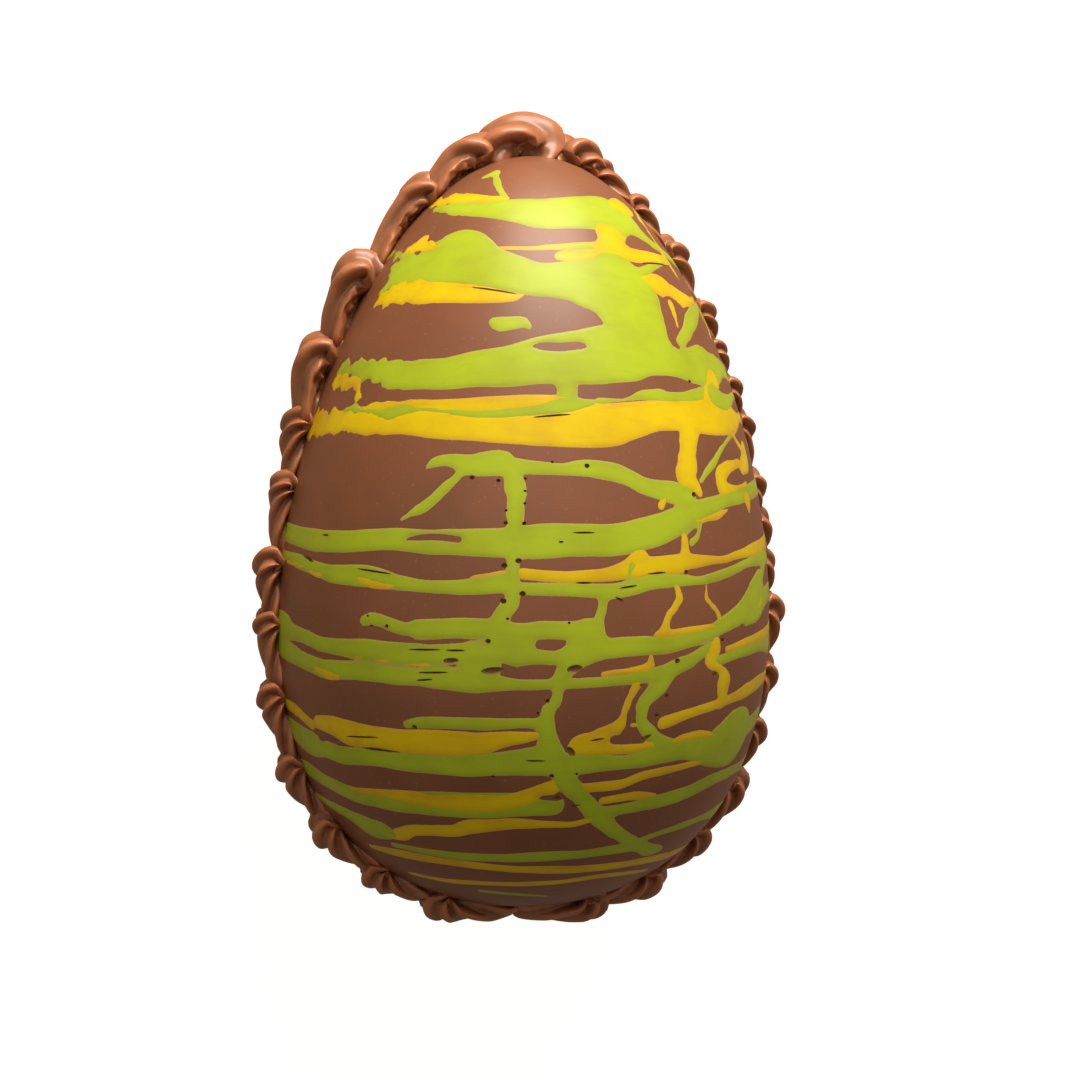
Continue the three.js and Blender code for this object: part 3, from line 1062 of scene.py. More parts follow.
FRONT_STROKES = [
    # the bands round the pointed end
    yellow((-72, 69, 3), (-60, 69.5, 4), (-46, 69, 3), (-34, 68.5, 2), (-27, 68.5, 1.5)),
    green(
        (-72, 67.5, 1), (-58, 67, 3.5), (-38, 66, 4.5), (-19, 65.5, 7.5), (-10, 65, 9), (1, 65.5, 9.5),
        (14, 66, 10.5), (24, 66, 12), (30, 65, 11), (36, 63, 6.5), (48, 60.5, 2.5), (62, 58.5, 2.5),
        (76, 58, 4), (88, 58.5, 2),
    ),
    green((-42, 76, 1), (-28, 69, 1.5)),
    green((-48, 74.5, 1), (-42, 75.5, 2)),
    yellow((32, 69, 3), (40, 69, 5.5), (45, 68.5, 2)),
    yellow((63, 67.5, 1), (74, 66, 3.5), (86, 65, 2)),
    yellow(
        (60, 71, 0.5), (50, 65.5, 1.5), (50, 60, 1.5), (52, 54.5, 1.5), (56, 50, 1.5), (61, 47, 1),
        (64, 44.5, 1.5), (61, 42, 1),
    ),
    bare((45, 66, 3), (49, 65, 1.5)),
    yellow((17, 62, 4.5), (20, 60.5, 7.5), (11, 56, 3)),
    yellow((18, 57.5, 4.5), (28, 57, 4), (47, 57.5, 2.5)),
    yellow((66, 54.5, 1), (76, 53.5, 3), (89, 53, 2)),
    yellow((12, 58, 2.5), (-6, 57, 1.5), (-16, 56.5, 1), (-27, 56.5, 1)),
    yellow((-4, 55, 2), (2, 55, 3.5), (8, 56, 3.5)),
    green((0, 57, 1), (6, 57.5, 2), (10, 57.5, 1)),
    bare((26, 59.5, 1), (32, 60.5, 3.5), (41, 60, 1.5)),
    # the broad green pool and the bands beside it
    green(
        (-64, 52.5, 8.5), (-46, 53.5, 11), (-42, 55, 14.5), (-29, 52.5, 10.5), (-23, 51.5, 9.5),
        (-10, 49.5, 8.5), (-1, 49.5, 10), (6, 49, 13),
    ),
    green((14, 50, 14), (16, 48.5, 18.5), (18.5, 44.5, 17), (20, 41, 13), (19, 37, 16.5), (18, 34.5, 17)),
    green((27, 53, 3), (37, 55.5, 1.5), (46, 57, 1)),
    green((-71, 53.5, 1), (-62, 53, 2.5)),
    green((-86, 57.5, 1.5), (-73, 57, 2), (-64, 56.5, 2.5)),
    green((-38, 59, 1.5), (-33, 59, 1)),
    yellow((-67, 57.5, 3), (-61, 58.5, 4), (-54, 57.5, 2), (-50, 57.5, 1)),
    green((-69, 48.5, 3), (-68, 49.5, 2.5), (-62, 49.5, 1.5)),
    yellow(
        (-70, 45.5, 1), (-66, 47, 4.5), (-60, 47.5, 6), (-46, 47, 5.5), (-35, 46.5, 5), (-28, 46, 4),
        (-19, 45.5, 2), (-16, 46, 0.5),
    ),
    green((-24, 40, 2), (-22, 39.5, 3.5), (-16, 40, 2.5), (-14, 39, 1)),
    yellow((26, 52, 1), (36, 50.5, 6), (40, 49, 6), (47, 49, 4), (60, 50, 1.5)),
    green((62, 48.5, 1), (70, 47, 4), (80, 46.5, 6), (90, 46, 3.5)),
    bare((42, 53.5, 2), (48, 53, 5), (56, 50.5, 1.5)),
    # its lower arm
    green(
        (-75, 32, 3.5), (-65, 30.5, 4.5), (-56, 30, 5.5), (-48, 29, 6.5), (-37, 29, 7), (-28, 30, 8),
        (-20, 30.5, 9), (-11, 32, 10.5), (0, 33, 12), (12, 34.5, 13.5), (22, 35.5, 12.5), (28, 34, 7.5),
        (36, 33.5, 8), (46, 34.5, 9.5), (58, 35, 4.5), (66, 34.5, 4.5), (76, 35.5, 6.5), (90, 37, 3.5),
    ),
    bare((34, 46.5, 2), (38, 45, 8), (41, 44.5, 4.5)),
    bare((35, 42, 4), (33, 39, 4.5)),
    bare((42, 40.5, 3), (48, 42, 7.5), (52, 40.5, 6.5), (61, 40, 1.5)),
    yellow((37, 47, 1.5), (36, 42, 1)),
    green((64, 49.5, 1.5), (48, 45, 4), (35, 38.5, 2.5)),
    bare((-13, 35, 0.5), (-10, 35, 2), (-6, 35, 2), (0, 35.5, 2), (2, 35.5, 0.5)),
    yellow((-75, 28.5, 3.5), (-71, 29, 4), (-65, 28, 2.5), (-62, 25, 1)),
    green((-5, 28.5, 4.5), (-4, 26, 4.5), (-5, 24.5, 3)),
    bare(
        (-1, 26.5, 0.5), (3, 26, 2), (8, 26.5, 3), (16, 27.5, 3), (22, 29, 3), (28, 29, 3.5),
        (36, 29, 1),
    ),
    green((4, 24, 1.5), (10, 24.5, 1), (18, 26, 2.5), (27, 26, 2.5), (40, 28, 3)),
    # the broad yellow band
    yellow(
        (-90, 19.5, 4), (-80, 20, 5.5), (-65, 20, 5.5), (-56, 20, 7), (-44, 20, 7.5), (-35, 19.5, 8.5),
        (-25, 19.5, 9.5), (-16, 19.5, 10.5), (-6, 19.5, 11), (4, 19, 9.5), (12, 20.5, 8), (20, 22, 6.5),
        (31, 22.5, 7), (40, 23, 8), (50, 23.5, 7.5), (62, 24.5, 2), (70, 25, 3.5), (80, 25.5, 5),
        (90, 26, 3),
    ),
    green(
        (-68, 22, 1), (-63, 22.5, 1), (-56, 21.5, 1), (-50, 21, 3), (-46, 21.5, 3), (-41, 21.5, 1.5),
        (-26, 20.5, 2), (-12, 21.5, 2.5), (-6, 22.5, 3.5), (2, 23.5, 1.5),
    ),
    yellow((47, 31.5, 5.5), (43, 28.5, 5), (40, 27, 2.5)),
    green((45, 28, 6), (50, 27, 4.5), (64, 29.5, 1.5), (76, 30.5, 2.5), (88, 31, 1.5)),
    yellow((30, 20, 5.5), (28, 15, 5), (26, 10, 6)),
    yellow((28, 8.5, 3.5), (30, 6.5, 2)),
    green((52, 21, 1.5), (42, 16.5, 1), (36, 12.5, 1), (31, 9, 1)),
    yellow((49, 21.5, 1), (52, 19, 1.5), (56, 17, 1.5)),
    yellow((66, 25, 0.5), (68, 16, 0.5), (66, 12, 0.5)),
    yellow((58, 18, 3), (57, 15.5, 4.5), (52, 13, 3)),
    yellow((50, 14, 2), (42, 12, 3), (39, 9.5, 4), (40, 7.5, 4), (46, 8, 2), (53, 9.5, 1.5)),
    # the hook and the ladder under it
    green(
        (-37, 9.5, 0.5), (-35, 10.5, 2), (-32, 11, 2.5), (-26, 10, 4.5), (-20, 10.5, 5.5),
        (-17, 10, 3.5), (-6, 9.5, 2.5), (0, 10, 3.5), (6, 9.5, 4), (10, 8.5, 3.5), (14, 7, 3.5),
        (22, 6, 5), (26, 5.5, 4.5),
    ),
    green((-28, 9, 2), (-36, 2, 2), (-42, -1, 1)),
    green((-17, 9, 4), (-16, 3, 3.5), (-16, -3, 3)),
    yellow((19, 4.5, 1.5), (18, 3, 2)),
    # the green band across the middle
    green(
        (-91, -2, 4), (-80, -3.5, 4), (-67, -5, 4.5), (-56, -5.5, 4.5), (-45, -5, 4.5), (-34, -5.5, 5),
        (-26, -5.5, 5.5), (-17, -5.5, 6), (-10, -5, 7), (-4, -4.5, 6.5), (2, -4.5, 6.5), (14, -2.5, 6.5),
        (24, 1, 5.5), (32, 3.5, 4), (40, 5.5, 3), (51, 7.5, 3.5), (66, 10, 3.5), (78, 12, 6),
        (91, 13.5, 4),
    ),
    bare((-40, -5, 0.5), (-34, -4.5, 1.5), (-28, -5, 1.5)),
    yellow((28, 0.5, 1.5), (35, 2, 1.5), (40, 3.5, 0.5)),
    yellow((52, 6.5, 4.5), (52, 3.5, 1)),
    yellow((68, 12, 1), (64, 9, 1)),
    green((24, -2.5, 0.5), (30, 1, 0.5)),
    green((26, -4, 1), (28, -2.5, 1), (29, 0, 1.5)),
    yellow((24, -2.5, 1), (24, -7, 2)),
    green((-16, -8, 3), (-16, -15, 3), (-19, -22, 3.5)),
    # the pair of bands below it
    green(
        (-91, -7, 2), (-82, -8, 2), (-74, -9.5, 3), (-66, -11, 3), (-60, -12, 3.5), (-50, -12.5, 4.5),
        (-40, -14, 3), (-34, -14.5, 2.5), (-28, -14.5, 3), (-18, -13.5, 4),
    ),
    yellow((-82, -9, 1), (-72, -10.5, 1), (-66, -12, 1.5), (-62, -12.5, 0.5)),
    yellow((-52, -13, 1.5), (-48, -14, 2), (-38, -15, 0.5)),
    yellow((-25, -12.5, 0.5), (-18, -11.5, 1)),
    green(
        (-14, -14.5, 2.5), (-6, -14.5, 2.5), (4, -14.5, 3), (17, -12, 3), (28, -11.5, 2), (38, -9.5, 2),
        (46, -7.5, 2), (62, -5, 4), (76, -3.5, 5), (91, -2.5, 3),
    ),
    yellow(
        (-14, -11.5, 2.5), (-6, -12, 2), (2, -11.5, 2.5), (12, -9.5, 4), (17, -9, 4), (22, -8.5, 4),
        (28, -7.5, 2.5), (36, -7, 1.5), (44, -5.5, 2), (54, -4, 3), (67, -1.5, 2.5), (80, 1.5, 2.5),
        (91, 3, 1.5),
    ),
    yellow((10, -8.5, 2.5), (12, -7, 3), (13, -8, 2)),
    green((10, -9, 1.5), (9, -11.5, 1.5)),
    bare((24, -10, 0.5), (26, -10, 1.5), (36, -8.5, 0.5)),
    yellow((21, -12.5, 1.5), (22, -15, 2), (21, -17, 1.5), (19, -19, 1.5), (18, -22.5, 2.5)),
    yellow((30, -12.5, 1), (30, -14.5, 1), (34, -18, 1.5), (35, -20, 1.5)),
    green((4, -14.5, 1.5), (2, -21.5, 2)),
    green((62, -5.5, 2.5), (57, -9.5, 3), (54, -12, 7), (44, -17.5, 4.5), (34, -21, 3)),
    green((90, -11, 3), (76, -12, 4.5), (66, -12.5, 4), (59, -14, 4), (52, -17, 4.5), (46, -19, 3)),
    yellow((56, -14.5, 2), (54, -16, 2)),
    # the crossing bands at the widest place
    green(
        (-50, -21.5, 2), (-48, -21, 2.5), (-39, -23, 2.5), (-36, -23, 4), (-26, -22.5, 4),
        (-14, -23, 3.5), (-9, -22.5, 3.5), (0, -22.5, 4), (2, -22, 3),
    ),
    green(
        (-91, -21, 4.5), (-82, -22.5, 5.5), (-76, -24, 3.5), (-70, -25, 3), (-63, -26.5, 3),
        (-48, -27.5, 4.5), (-40, -28, 4.5), (-34, -28, 4), (-20, -27, 4),
    ),
    green((-18, -25.5, 7.5), (-12, -27, 6), (-6, -27, 5), (-2, -26, 8), (1, -25, 7)),
    yellow((-56, -28.5, 1), (-44, -29.5, 1), (-34, -30, 1)),
    green(
        (-91, -26, 3), (-82, -27.5, 4.5), (-68, -30.5, 3.5), (-62, -31.5, 4), (-54, -31.5, 4),
        (-46, -32, 3.5), (-38, -32.5, 3.5), (-32, -32.5, 4.5), (-25, -33, 4.5), (-13, -33.5, 2),
        (-4, -33, 2), (4, -32.5, 2), (12, -31.5, 2.5), (20, -30, 3), (32, -25, 2),
    ),
    green((-25, -30.5, 4.5), (-20, -30.5, 3.5)),
    yellow((-66, -31.5, 1.5), (-62, -32.5, 2), (-58, -33, 1)),
    yellow((4, -31, 1), (12, -30, 1.5), (15, -29, 2), (15, -27, 1)),
    green((3, -26, 4), (8, -25.5, 4), (18, -25, 3.5), (28, -23, 3), (38, -20, 3)),
    yellow((16, -23, 1), (24, -22, 1.5), (34, -20.5, 1)),
    bare((-10, -25.5, 2), (-7, -25.5, 2.5), (-5, -25, 1.5)),
    bare((-17, -31, 1), (-10, -30.5, 2.5), (-6, -30, 1)),
    green((34, -28, 2), (46, -25.5, 2.5), (57, -24, 3), (72, -23.5, 5), (91, -22, 3)),
    yellow((38, -25.5, 1.5), (46, -24, 2), (58, -22, 2.5), (72, -19.5, 3), (88, -18, 1)),
    yellow((34, -24, 2.5), (33, -26, 4), (32, -27.5, 3), (36, -29.5, 2), (38, -31.5, 4), (38, -36, 2.5)),
    green(
        (26, -28, 2), (22, -29, 3), (18, -33, 3.5), (14, -37.5, 3), (14, -39.5, 3), (16, -42, 3),
        (19, -44, 3), (22, -45, 3.5), (28, -45.5, 3.5),
    ),
    yellow(
        (90, -28.5, 2), (78, -29.5, 4), (68, -30.5, 2.5), (58, -32, 3), (49, -34, 3), (42, -35.5, 2),
        (30, -38, 2), (20, -40.5, 2.5),
    ),
    yellow((12, -33, 2), (10, -37, 1.5), (9, -41, 2.5), (0, -45.5, 5)),
    yellow((1, -45.5, 4.5), (10, -46, 2), (18, -45, 2)),
    yellow((12, -41, 1), (15, -41, 0.5)),
    bare((8, -44, 2), (15, -44, 1.5)),
    # the yellow band with green round it
    yellow((-92, -38, 1.5), (-86, -39, 2), (-80, -40, 2.5), (-71, -43, 2.5)),
    green(
        (-90, -42.5, 2), (-82, -45, 5.5), (-74, -47, 6), (-67, -48, 4), (-60, -49, 4), (-52, -49, 4),
        (-43, -49.5, 4), (-35, -50, 4), (-27, -50, 4.5), (-20, -49.5, 5), (-8, -48.5, 6.5),
    ),
    green((-40, -42, 1.5), (-36, -41.5, 2.5), (-22, -41.5, 2.5), (-12, -41, 2), (-8, -41.5, 3)),
    yellow(
        (-68, -42.5, 3), (-63, -43, 4), (-56, -44.5, 5.5), (-48, -45, 4.5), (-40, -45.5, 5),
        (-32, -45.5, 5.5), (-24, -45.5, 5), (-18, -44.5, 3.5), (-10, -43.5, 1.5),
    ),
    bare((-68, -45.5, 2), (-64, -45.5, 1.5)),
    green(
        (-1, -49, 5), (12, -48.5, 3), (18, -47.5, 4), (30, -46, 4.5), (36, -46, 6.5), (42, -45, 10),
        (48, -43.5, 13), (56, -41.5, 4.5), (66, -39, 4), (78, -37.5, 6), (91, -36, 3.5),
    ),
    yellow((24, -44.5, 1.5), (28, -43.5, 2), (32, -43, 2), (38, -43, 1)),
    yellow((2, -54, 2), (12, -53, 2), (17, -51.5, 2), (29, -49.5, 1.5), (36, -48.5, 1)),
    # the bands towards the blunt end
    green(
        (-90, -51.5, 2), (-80, -53, 4), (-72, -55, 3.5), (-58, -57.5, 4), (-46, -58, 5), (-34, -58, 6),
        (-24, -58, 6), (-13, -57.5, 5.5), (-5, -57.5, 5),
    ),
    yellow(
        (-62, -56, 1), (-52, -56.5, 2), (-42, -57, 3.5), (-34, -57.5, 4), (-24, -57.5, 4.5),
        (-16, -57, 4), (-7, -54.5, 3.5), (-4, -53, 2.5),
    ),
    bare((-8, -56, 1), (-4, -56, 1.5), (-2, -55.5, 0.5)),
    green(
        (8, -59, 2.5), (20, -57.5, 3), (32, -55.5, 3.5), (47, -52, 3), (58, -50.5, 2.5), (72, -49, 4.5),
        (88, -47.5, 2.5),
    ),
    yellow((8, -56.5, 1.5), (18, -55.5, 2), (23, -55.5, 1)),
    # the green stroke that runs down over the bands
    green(
        (0, -22.5, 5), (-3, -28.5, 5), (-6, -33, 2.5), (-6, -35.5, 2), (-8, -39.5, 3), (-6, -48, 5),
        (-1, -53.5, 4), (6, -58.5, 3.5), (15, -63, 3.5), (26, -66, 2.5),
    ),
    green((28, -66.5, 3), (35, -67.5, 3.5), (39, -67.5, 2)),
    # thin bands near the blunt end
    yellow(
        (-54, -65.5, 2), (-50, -65, 3.5), (-45, -64, 3), (-32, -63.5, 3), (-27, -62.5, 3.5),
        (-21, -62, 3), (-13, -61.5, 2.5), (0, -61.5, 1.5), (6, -60.5, 1),
    ),
    green((-86, -58.5, 2), (-70, -61.5, 3), (-62, -64, 6), (-57, -64.5, 5), (-54, -65, 3)),
    green(
        (-56, -67.5, 1.5), (-42, -68.5, 2), (-32, -69, 2.5), (-19, -69, 2.5), (-6, -68.5, 3),
        (6, -68, 2.5), (18, -67, 3), (26, -66.5, 2.5),
    ),
    green((26, -65, 1.5), (33, -63.5, 1.5), (40, -62.5, 2), (50, -61, 2), (66, -59.5, 4), (86, -58, 2)),
    yellow(
        (-70, -68.5, 1.5), (-54, -69.5, 3), (-37, -70.5, 2), (-26, -71, 2.5), (-12, -71.5, 2.5),
        (2, -71.5, 3), (18, -71, 2.5), (35, -70, 2.5), (53, -69, 3), (74, -67.5, 1.5),
    ),
    yellow((-62, -74, 1), (-41, -75, 2), (-20, -75, 2), (1, -74.5, 2), (24, -73, 2), (48, -72.5, 1)),
    green((-31, -77, 1.5), (-15, -77.5, 1.5), (4, -78, 1)),
]

ROUND_HOLES = (
    (-26, 7.5, 1.1), (-20, 7, 0.9), (-14, 7.5, 0.6), (-14, 5, 0.6), (-14, 2.5, 0.6), (-18, -1.5, 0.9),
    (-14, -1.5, 0.9), (-18, 1, 0.6), (-15, -9, 1.3), (-18, -10, 1.3), (-14, -15.5, 1.3), (-18, -17, 1.3),
    (-17, -20.5, 0.6), (-21, -25, 1.1), (-4, -21, 0.6), (13, -33, 0.6), (20, -35, 0.9), (18, -39, 0.9),
    (0, -51, 0.6), (-6, -51.5, 1.1), (-10, -39, 0.6), (-8, -36.5, 0.9), (28, 6, 1.3), (24, -10, 1.1),
    (22, -28, 1.3), (36, -23.5, 1.1), (34, -30.5, 1.1), (-38, -42.5, 1.1), (-20, -52, 0.9),
    (-4, -56, 1.1), (0, 10.5, 1.1), (-8, 11, 0.6), (-49, -20.5, 0.6), (-48, -22.5, 0.6),
    (-44, -22.5, 0.9), (34, 30, 0.9),
)

SLITS = (
    (38, 56, 12, 6, 0.42), (-25, 47, 11.5, -10, 0.42), (-8, 20.5, 8, 7, 0.42), (-1, -3, 4.5, 2, 0.42),
    (-48, -11.5, 9.5, -7, 0.42), (9, -13.5, 4, 10, 0.42), (-1, -13, 3.5, 2, 0.42),
    (16, -10.5, 4.5, 7, 0.42), (7, -16, 2, -23, 0.42), (-35, -27, 7, 1, 0.42), (-28, -27, 4, 1, 0.42),
    (-33, -31.5, 6.5, 2, 0.42), (-35, -33, 3.5, 5, 0.42), (4, -44, 3, 9, 0.42), (-53, -45, 9.5, 1, 0.42),
    (-48, -47.5, 10.5, -3, 0.42), (-10, -48.5, 4, 1, 0.42), (1, -57.5, 2, 14, 0.42),
    (-6, -5, 1, 2, 0.42), (-64, -4, 2, -2, 0.42), (-2.5, -30, 3.2, 12, 1.5), (-20, -30.8, 4.6, 8, 1.4),
    (-2, -46.5, 2.4, -50, 1.3), (-70, -8.8, 4.5, -16, 0.7), (-29, -29, 3.2, 5, 1),
    (16, -43.5, 2.6, 25, 0.9),
)


# ---- Finishes ------------------------------------------------------------------------------------------


class Finish:
    """The look of one kind of surface."""

    name: str

    def material(self) -> bpy.types.Material:
        """Makes the material, or finds it if it is already made."""
        found = bpy.data.materials.get(self.name)
        return found or self.mix()

    def mix(self) -> bpy.types.Material:
        """Builds the node tree.

        Returns:
            The material.
        """
        raise NotImplementedError


def dress(piece: bpy.types.Object, look: Finish) -> None:
    """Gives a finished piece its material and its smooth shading.

    Args:
        piece: the mesh object, in its place.
        look: its finish.
    """
    activate(piece)
    piece.data.materials.clear()
    piece.data.materials.append(look.material())
    bpy.ops.object.shade_smooth_by_angle(angle=math.radians(SMOOTH_BELOW))


@dataclass(frozen=True)
class TemperedMilkChocolate(Finish):
    """Milk chocolate cast against a polished mould: an even satin shine with a faint mottling.

    The cocoa butter sets smooth where it touched the mould, so the shine is broad and soft. Milk
    solids make it slightly cloudy over a few centimetres, and leave pale specks.
    """

    name: str = "tempered_milk_chocolate"
    shade: str = "74492F"
    warm_shade: str = "7E4D31"
    speck: str = "B58A66"
    roughness: float = 0.40
    cloud_mm: float = 18.0
    speck_mm: float = 0.8  # drawn about twice as coarse as the real specks, so that they show
    ripple_mm: float = 9.0
    grain_mm: float = 0.7

    def mix(self) -> bpy.types.Material:
        """Builds the node tree.

        Returns:
            The material.
        """
        made = new_material(self.name)
        place = add_node(made, "TexCoord").outputs["Object"]
        sizes = ((self.cloud_mm, 3.0), (self.speck_mm, 1.0), (self.ripple_mm, 1.0), (self.grain_mm, 2.0))
        clouds, dots, ripples, grains = (
            add_node(made, "TexNoise", {"Scale": per_mm(size), "Detail": detail}, {"Vector": place})
            for size, detail in sizes
        )
        cloud = add_node(
            made, "MapRange", {"From Min": 0.35, "From Max": 0.65}, {"Value": clouds.outputs["Fac"]}
        )
        base = add_node(
            made,
            "Mix",
            {"data_type": "RGBA", 6: linear(self.shade), 7: linear(self.warm_shade)},
            {0: cloud.outputs["Result"]},
        )
        dot = add_node(
            made,
            "MapRange",
            {"From Min": 0.70, "From Max": 0.78, "To Max": 0.26},
            {"Value": dots.outputs["Fac"]},
        )
        colour = add_node(
            made,
            "Mix",
            {"data_type": "RGBA", 7: linear(self.speck)},
            {0: dot.outputs["Result"], 6: base.outputs[2]},
        )
        shine = add_node(
            made,
            "MapRange",
            {"To Min": self.roughness - 0.04, "To Max": self.roughness + 0.06},
            {"Value": clouds.outputs["Fac"]},
        )
        ripple = add_node(
            made,
            "Bump",
            {"Strength": 0.5, "Distance": 0.06 * MM},
            {"Height": ripples.outputs["Fac"]},
        )
        grain = add_node(
            made,
            "Bump",
            {"Strength": 0.35, "Distance": 0.02 * MM},
            {"Height": grains.outputs["Fac"], "Normal": ripple.outputs["Normal"]},
        )
        surface = add_node(
            made,
            "BsdfPrincipled",
            {"IOR": COCOA_BUTTER_IOR, "Specular IOR Level": 0.46},
            {
                "Base Color": colour.outputs[2],
                "Roughness": shine.outputs["Result"],
                "Normal": grain.outputs["Normal"],
            },
        )
        add_node(made, "OutputMaterial", None, {"Surface": surface.outputs["BSDF"]})
        return made


@dataclass(frozen=True)
class PipedMilkChocolate(Finish):
    """Softer milk chocolate pressed through a star nozzle and set in air: smooth, with a painted warm glow on
    its crests.

    It sets without a mould, so it is a little duller in the grooves. The thin crests get a lighter, warmer
    base colour: painted glow that stands in for the light passing through them.
    """

    name: str = "piped_milk_chocolate"
    shade: str = "9F6845"
    deep_shade: str = "7E4E32"
    # painted glow: the lighter, warmer colour given to the crests in place of light passing through them
    crest_painted_glow: str = "B06D43"
    roughness: float = 0.33
    glow: Point = (1.0, 0.42, 0.22)  # how far red, green and blue light travel inside, as shares
    glow_mm: float = 1.1
    cloud_mm: float = 6.0
    drag_mm: float = 0.9  # fine lines dragged by the nozzle's teeth, drawn coarser than they are

    def mix(self) -> bpy.types.Material:
        """Builds the node tree.

        Returns:
            The material.
        """
        made = new_material(self.name)
        place = add_node(made, "TexCoord").outputs["Object"]
        clouds, drags = (
            add_node(made, "TexNoise", {"Scale": per_mm(size), "Detail": detail}, {"Vector": place})
            for size, detail in ((self.cloud_mm, 3.0), (self.drag_mm, 2.0))
        )
        cloud = add_node(
            made, "MapRange", {"From Min": 0.3, "From Max": 0.7}, {"Value": clouds.outputs["Fac"]}
        )
        body = add_node(
            made,
            "Mix",
            {"data_type": "RGBA", 6: linear(self.shade), 7: linear(self.deep_shade)},
            {0: cloud.outputs["Result"]},
        )
        # painted glow: the base colour is mixed towards a lighter, warmer shade on the crests, where light
        # would pass through
        crest = add_node(made, "Attribute", {"attribute_name": "crest"}).outputs["Fac"]
        thin = add_node(made, "MapRange", {"From Min": 0.4, "From Max": 1.0, "To Max": 0.8}, {"Value": crest})
        colour = add_node(
            made,
            "Mix",
            {"data_type": "RGBA", 7: linear(self.crest_painted_glow)},
            {0: thin.outputs["Result"], 6: body.outputs[2]},
        )
        shine = add_node(
            made,
            "MapRange",
            {"To Min": self.roughness - 0.06, "To Max": self.roughness + 0.08},
            {"Value": clouds.outputs["Fac"]},
        )
        drag = add_node(
            made, "Bump", {"Strength": 0.5, "Distance": 0.04 * MM}, {"Height": drags.outputs["Fac"]}
        )
        surface = add_node(
            made,
            "BsdfPrincipled",
            {
                "IOR": COCOA_BUTTER_IOR,
                "Specular IOR Level": 0.52,
                "Subsurface Weight": 0.15,
                "Subsurface Radius": self.glow,
                "Subsurface Scale": self.glow_mm * MM,
            },
            {
                "Base Color": colour.outputs[2],
                "Roughness": shine.outputs["Result"],
                "Normal": drag.outputs["Normal"],
            },
        )
        add_node(made, "OutputMaterial", None, {"Surface": surface.outputs["BSDF"]})
        return made


@dataclass(frozen=True)
class ColouredWhiteChocolate(Finish):
    """White chocolate with an oil colour, flicked thinly into the mould: bright, with thin tan rims.

    The layer is thin, so the milk chocolate behind it darkens it in places, and most of all along
    its edge.
    """

    name: str
    shade: str
    thin_shade: str
    rim_shade: str
    rim_mm: float = 0.40
    thin_mm: float = 1.6
    roughness: float = 0.36
    cloud_mm: float = 11.0
    streak_mm: float = 2.0
    streak_stretch: Point = (0.16, 1.0, 1.0)  # the streaks are long across the egg
    grain_mm: float = 0.8

    def mix(self) -> bpy.types.Material:
        """Builds the node tree.

        Returns:
            The material.
        """
        made = new_material(self.name)
        place = add_node(made, "TexCoord").outputs["Object"]
        edge = add_node(made, "Attribute", {"attribute_name": "from_edge"}).outputs["Fac"]
        drawn_out = add_node(
            made, "VectorMath", {"operation": "MULTIPLY", 1: self.streak_stretch}, {0: place}
        ).outputs["Vector"]
        clouds, streaks, grains = (
            add_node(made, "TexNoise", {"Scale": per_mm(size), "Detail": detail}, {"Vector": vector})
            for size, detail, vector in (
                (self.cloud_mm, 3.0, place), (self.streak_mm, 3.0, drawn_out), (self.grain_mm, 2.0, place),
            )
        )
        cloud = add_node(
            made,
            "MapRange",
            {"From Min": 0.42, "From Max": 0.68, "To Max": 0.50},
            {"Value": clouds.outputs["Fac"]},
        )
        streak = add_node(
            made,
            "MapRange",
            {"From Min": 0.50, "From Max": 0.74, "To Max": 0.24},
            {"Value": streaks.outputs["Fac"]},
        )
        near_edge = add_node(
            made, "MapRange", {"From Max": self.thin_mm, "To Min": 0.45, "To Max": 0.0}, {"Value": edge}
        )
        sum_of_two = add_node(
            made, "Math", {"operation": "ADD"}, {0: cloud.outputs["Result"], 1: streak.outputs["Result"]}
        )
        thinness = add_node(
            made,
            "Math",
            {"operation": "ADD", "use_clamp": True},
            {0: sum_of_two.outputs["Value"], 1: near_edge.outputs["Result"]},
        )
        body = add_node(
            made,
            "Mix",
            {"data_type": "RGBA", 6: linear(self.shade), 7: linear(self.thin_shade)},
            {0: thinness.outputs["Value"]},
        )
        rim = add_node(
            made, "MapRange", {"From Max": self.rim_mm, "To Min": 0.6, "To Max": 0.0}, {"Value": edge}
        )
        colour = add_node(
            made,
            "Mix",
            {"data_type": "RGBA", 7: linear(self.rim_shade)},
            {0: rim.outputs["Result"], 6: body.outputs[2]},
        )
        grain = add_node(
            made, "Bump", {"Strength": 0.4, "Distance": 0.03 * MM}, {"Height": grains.outputs["Fac"]}
        )
        shine = add_node(
            made,
            "MapRange",
            {"To Min": self.roughness - 0.05, "To Max": self.roughness + 0.07},
            {"Value": streaks.outputs["Fac"]},
        )
        surface = add_node(
            made,
            "BsdfPrincipled",
            {"IOR": COCOA_BUTTER_IOR, "Specular IOR Level": 0.22},
            {
                "Base Color": colour.outputs[2],
                "Roughness": shine.outputs["Result"],
                "Normal": grain.outputs["Normal"],
            },
        )
        add_node(made, "OutputMaterial", None, {"Surface": surface.outputs["BSDF"]})
        return made


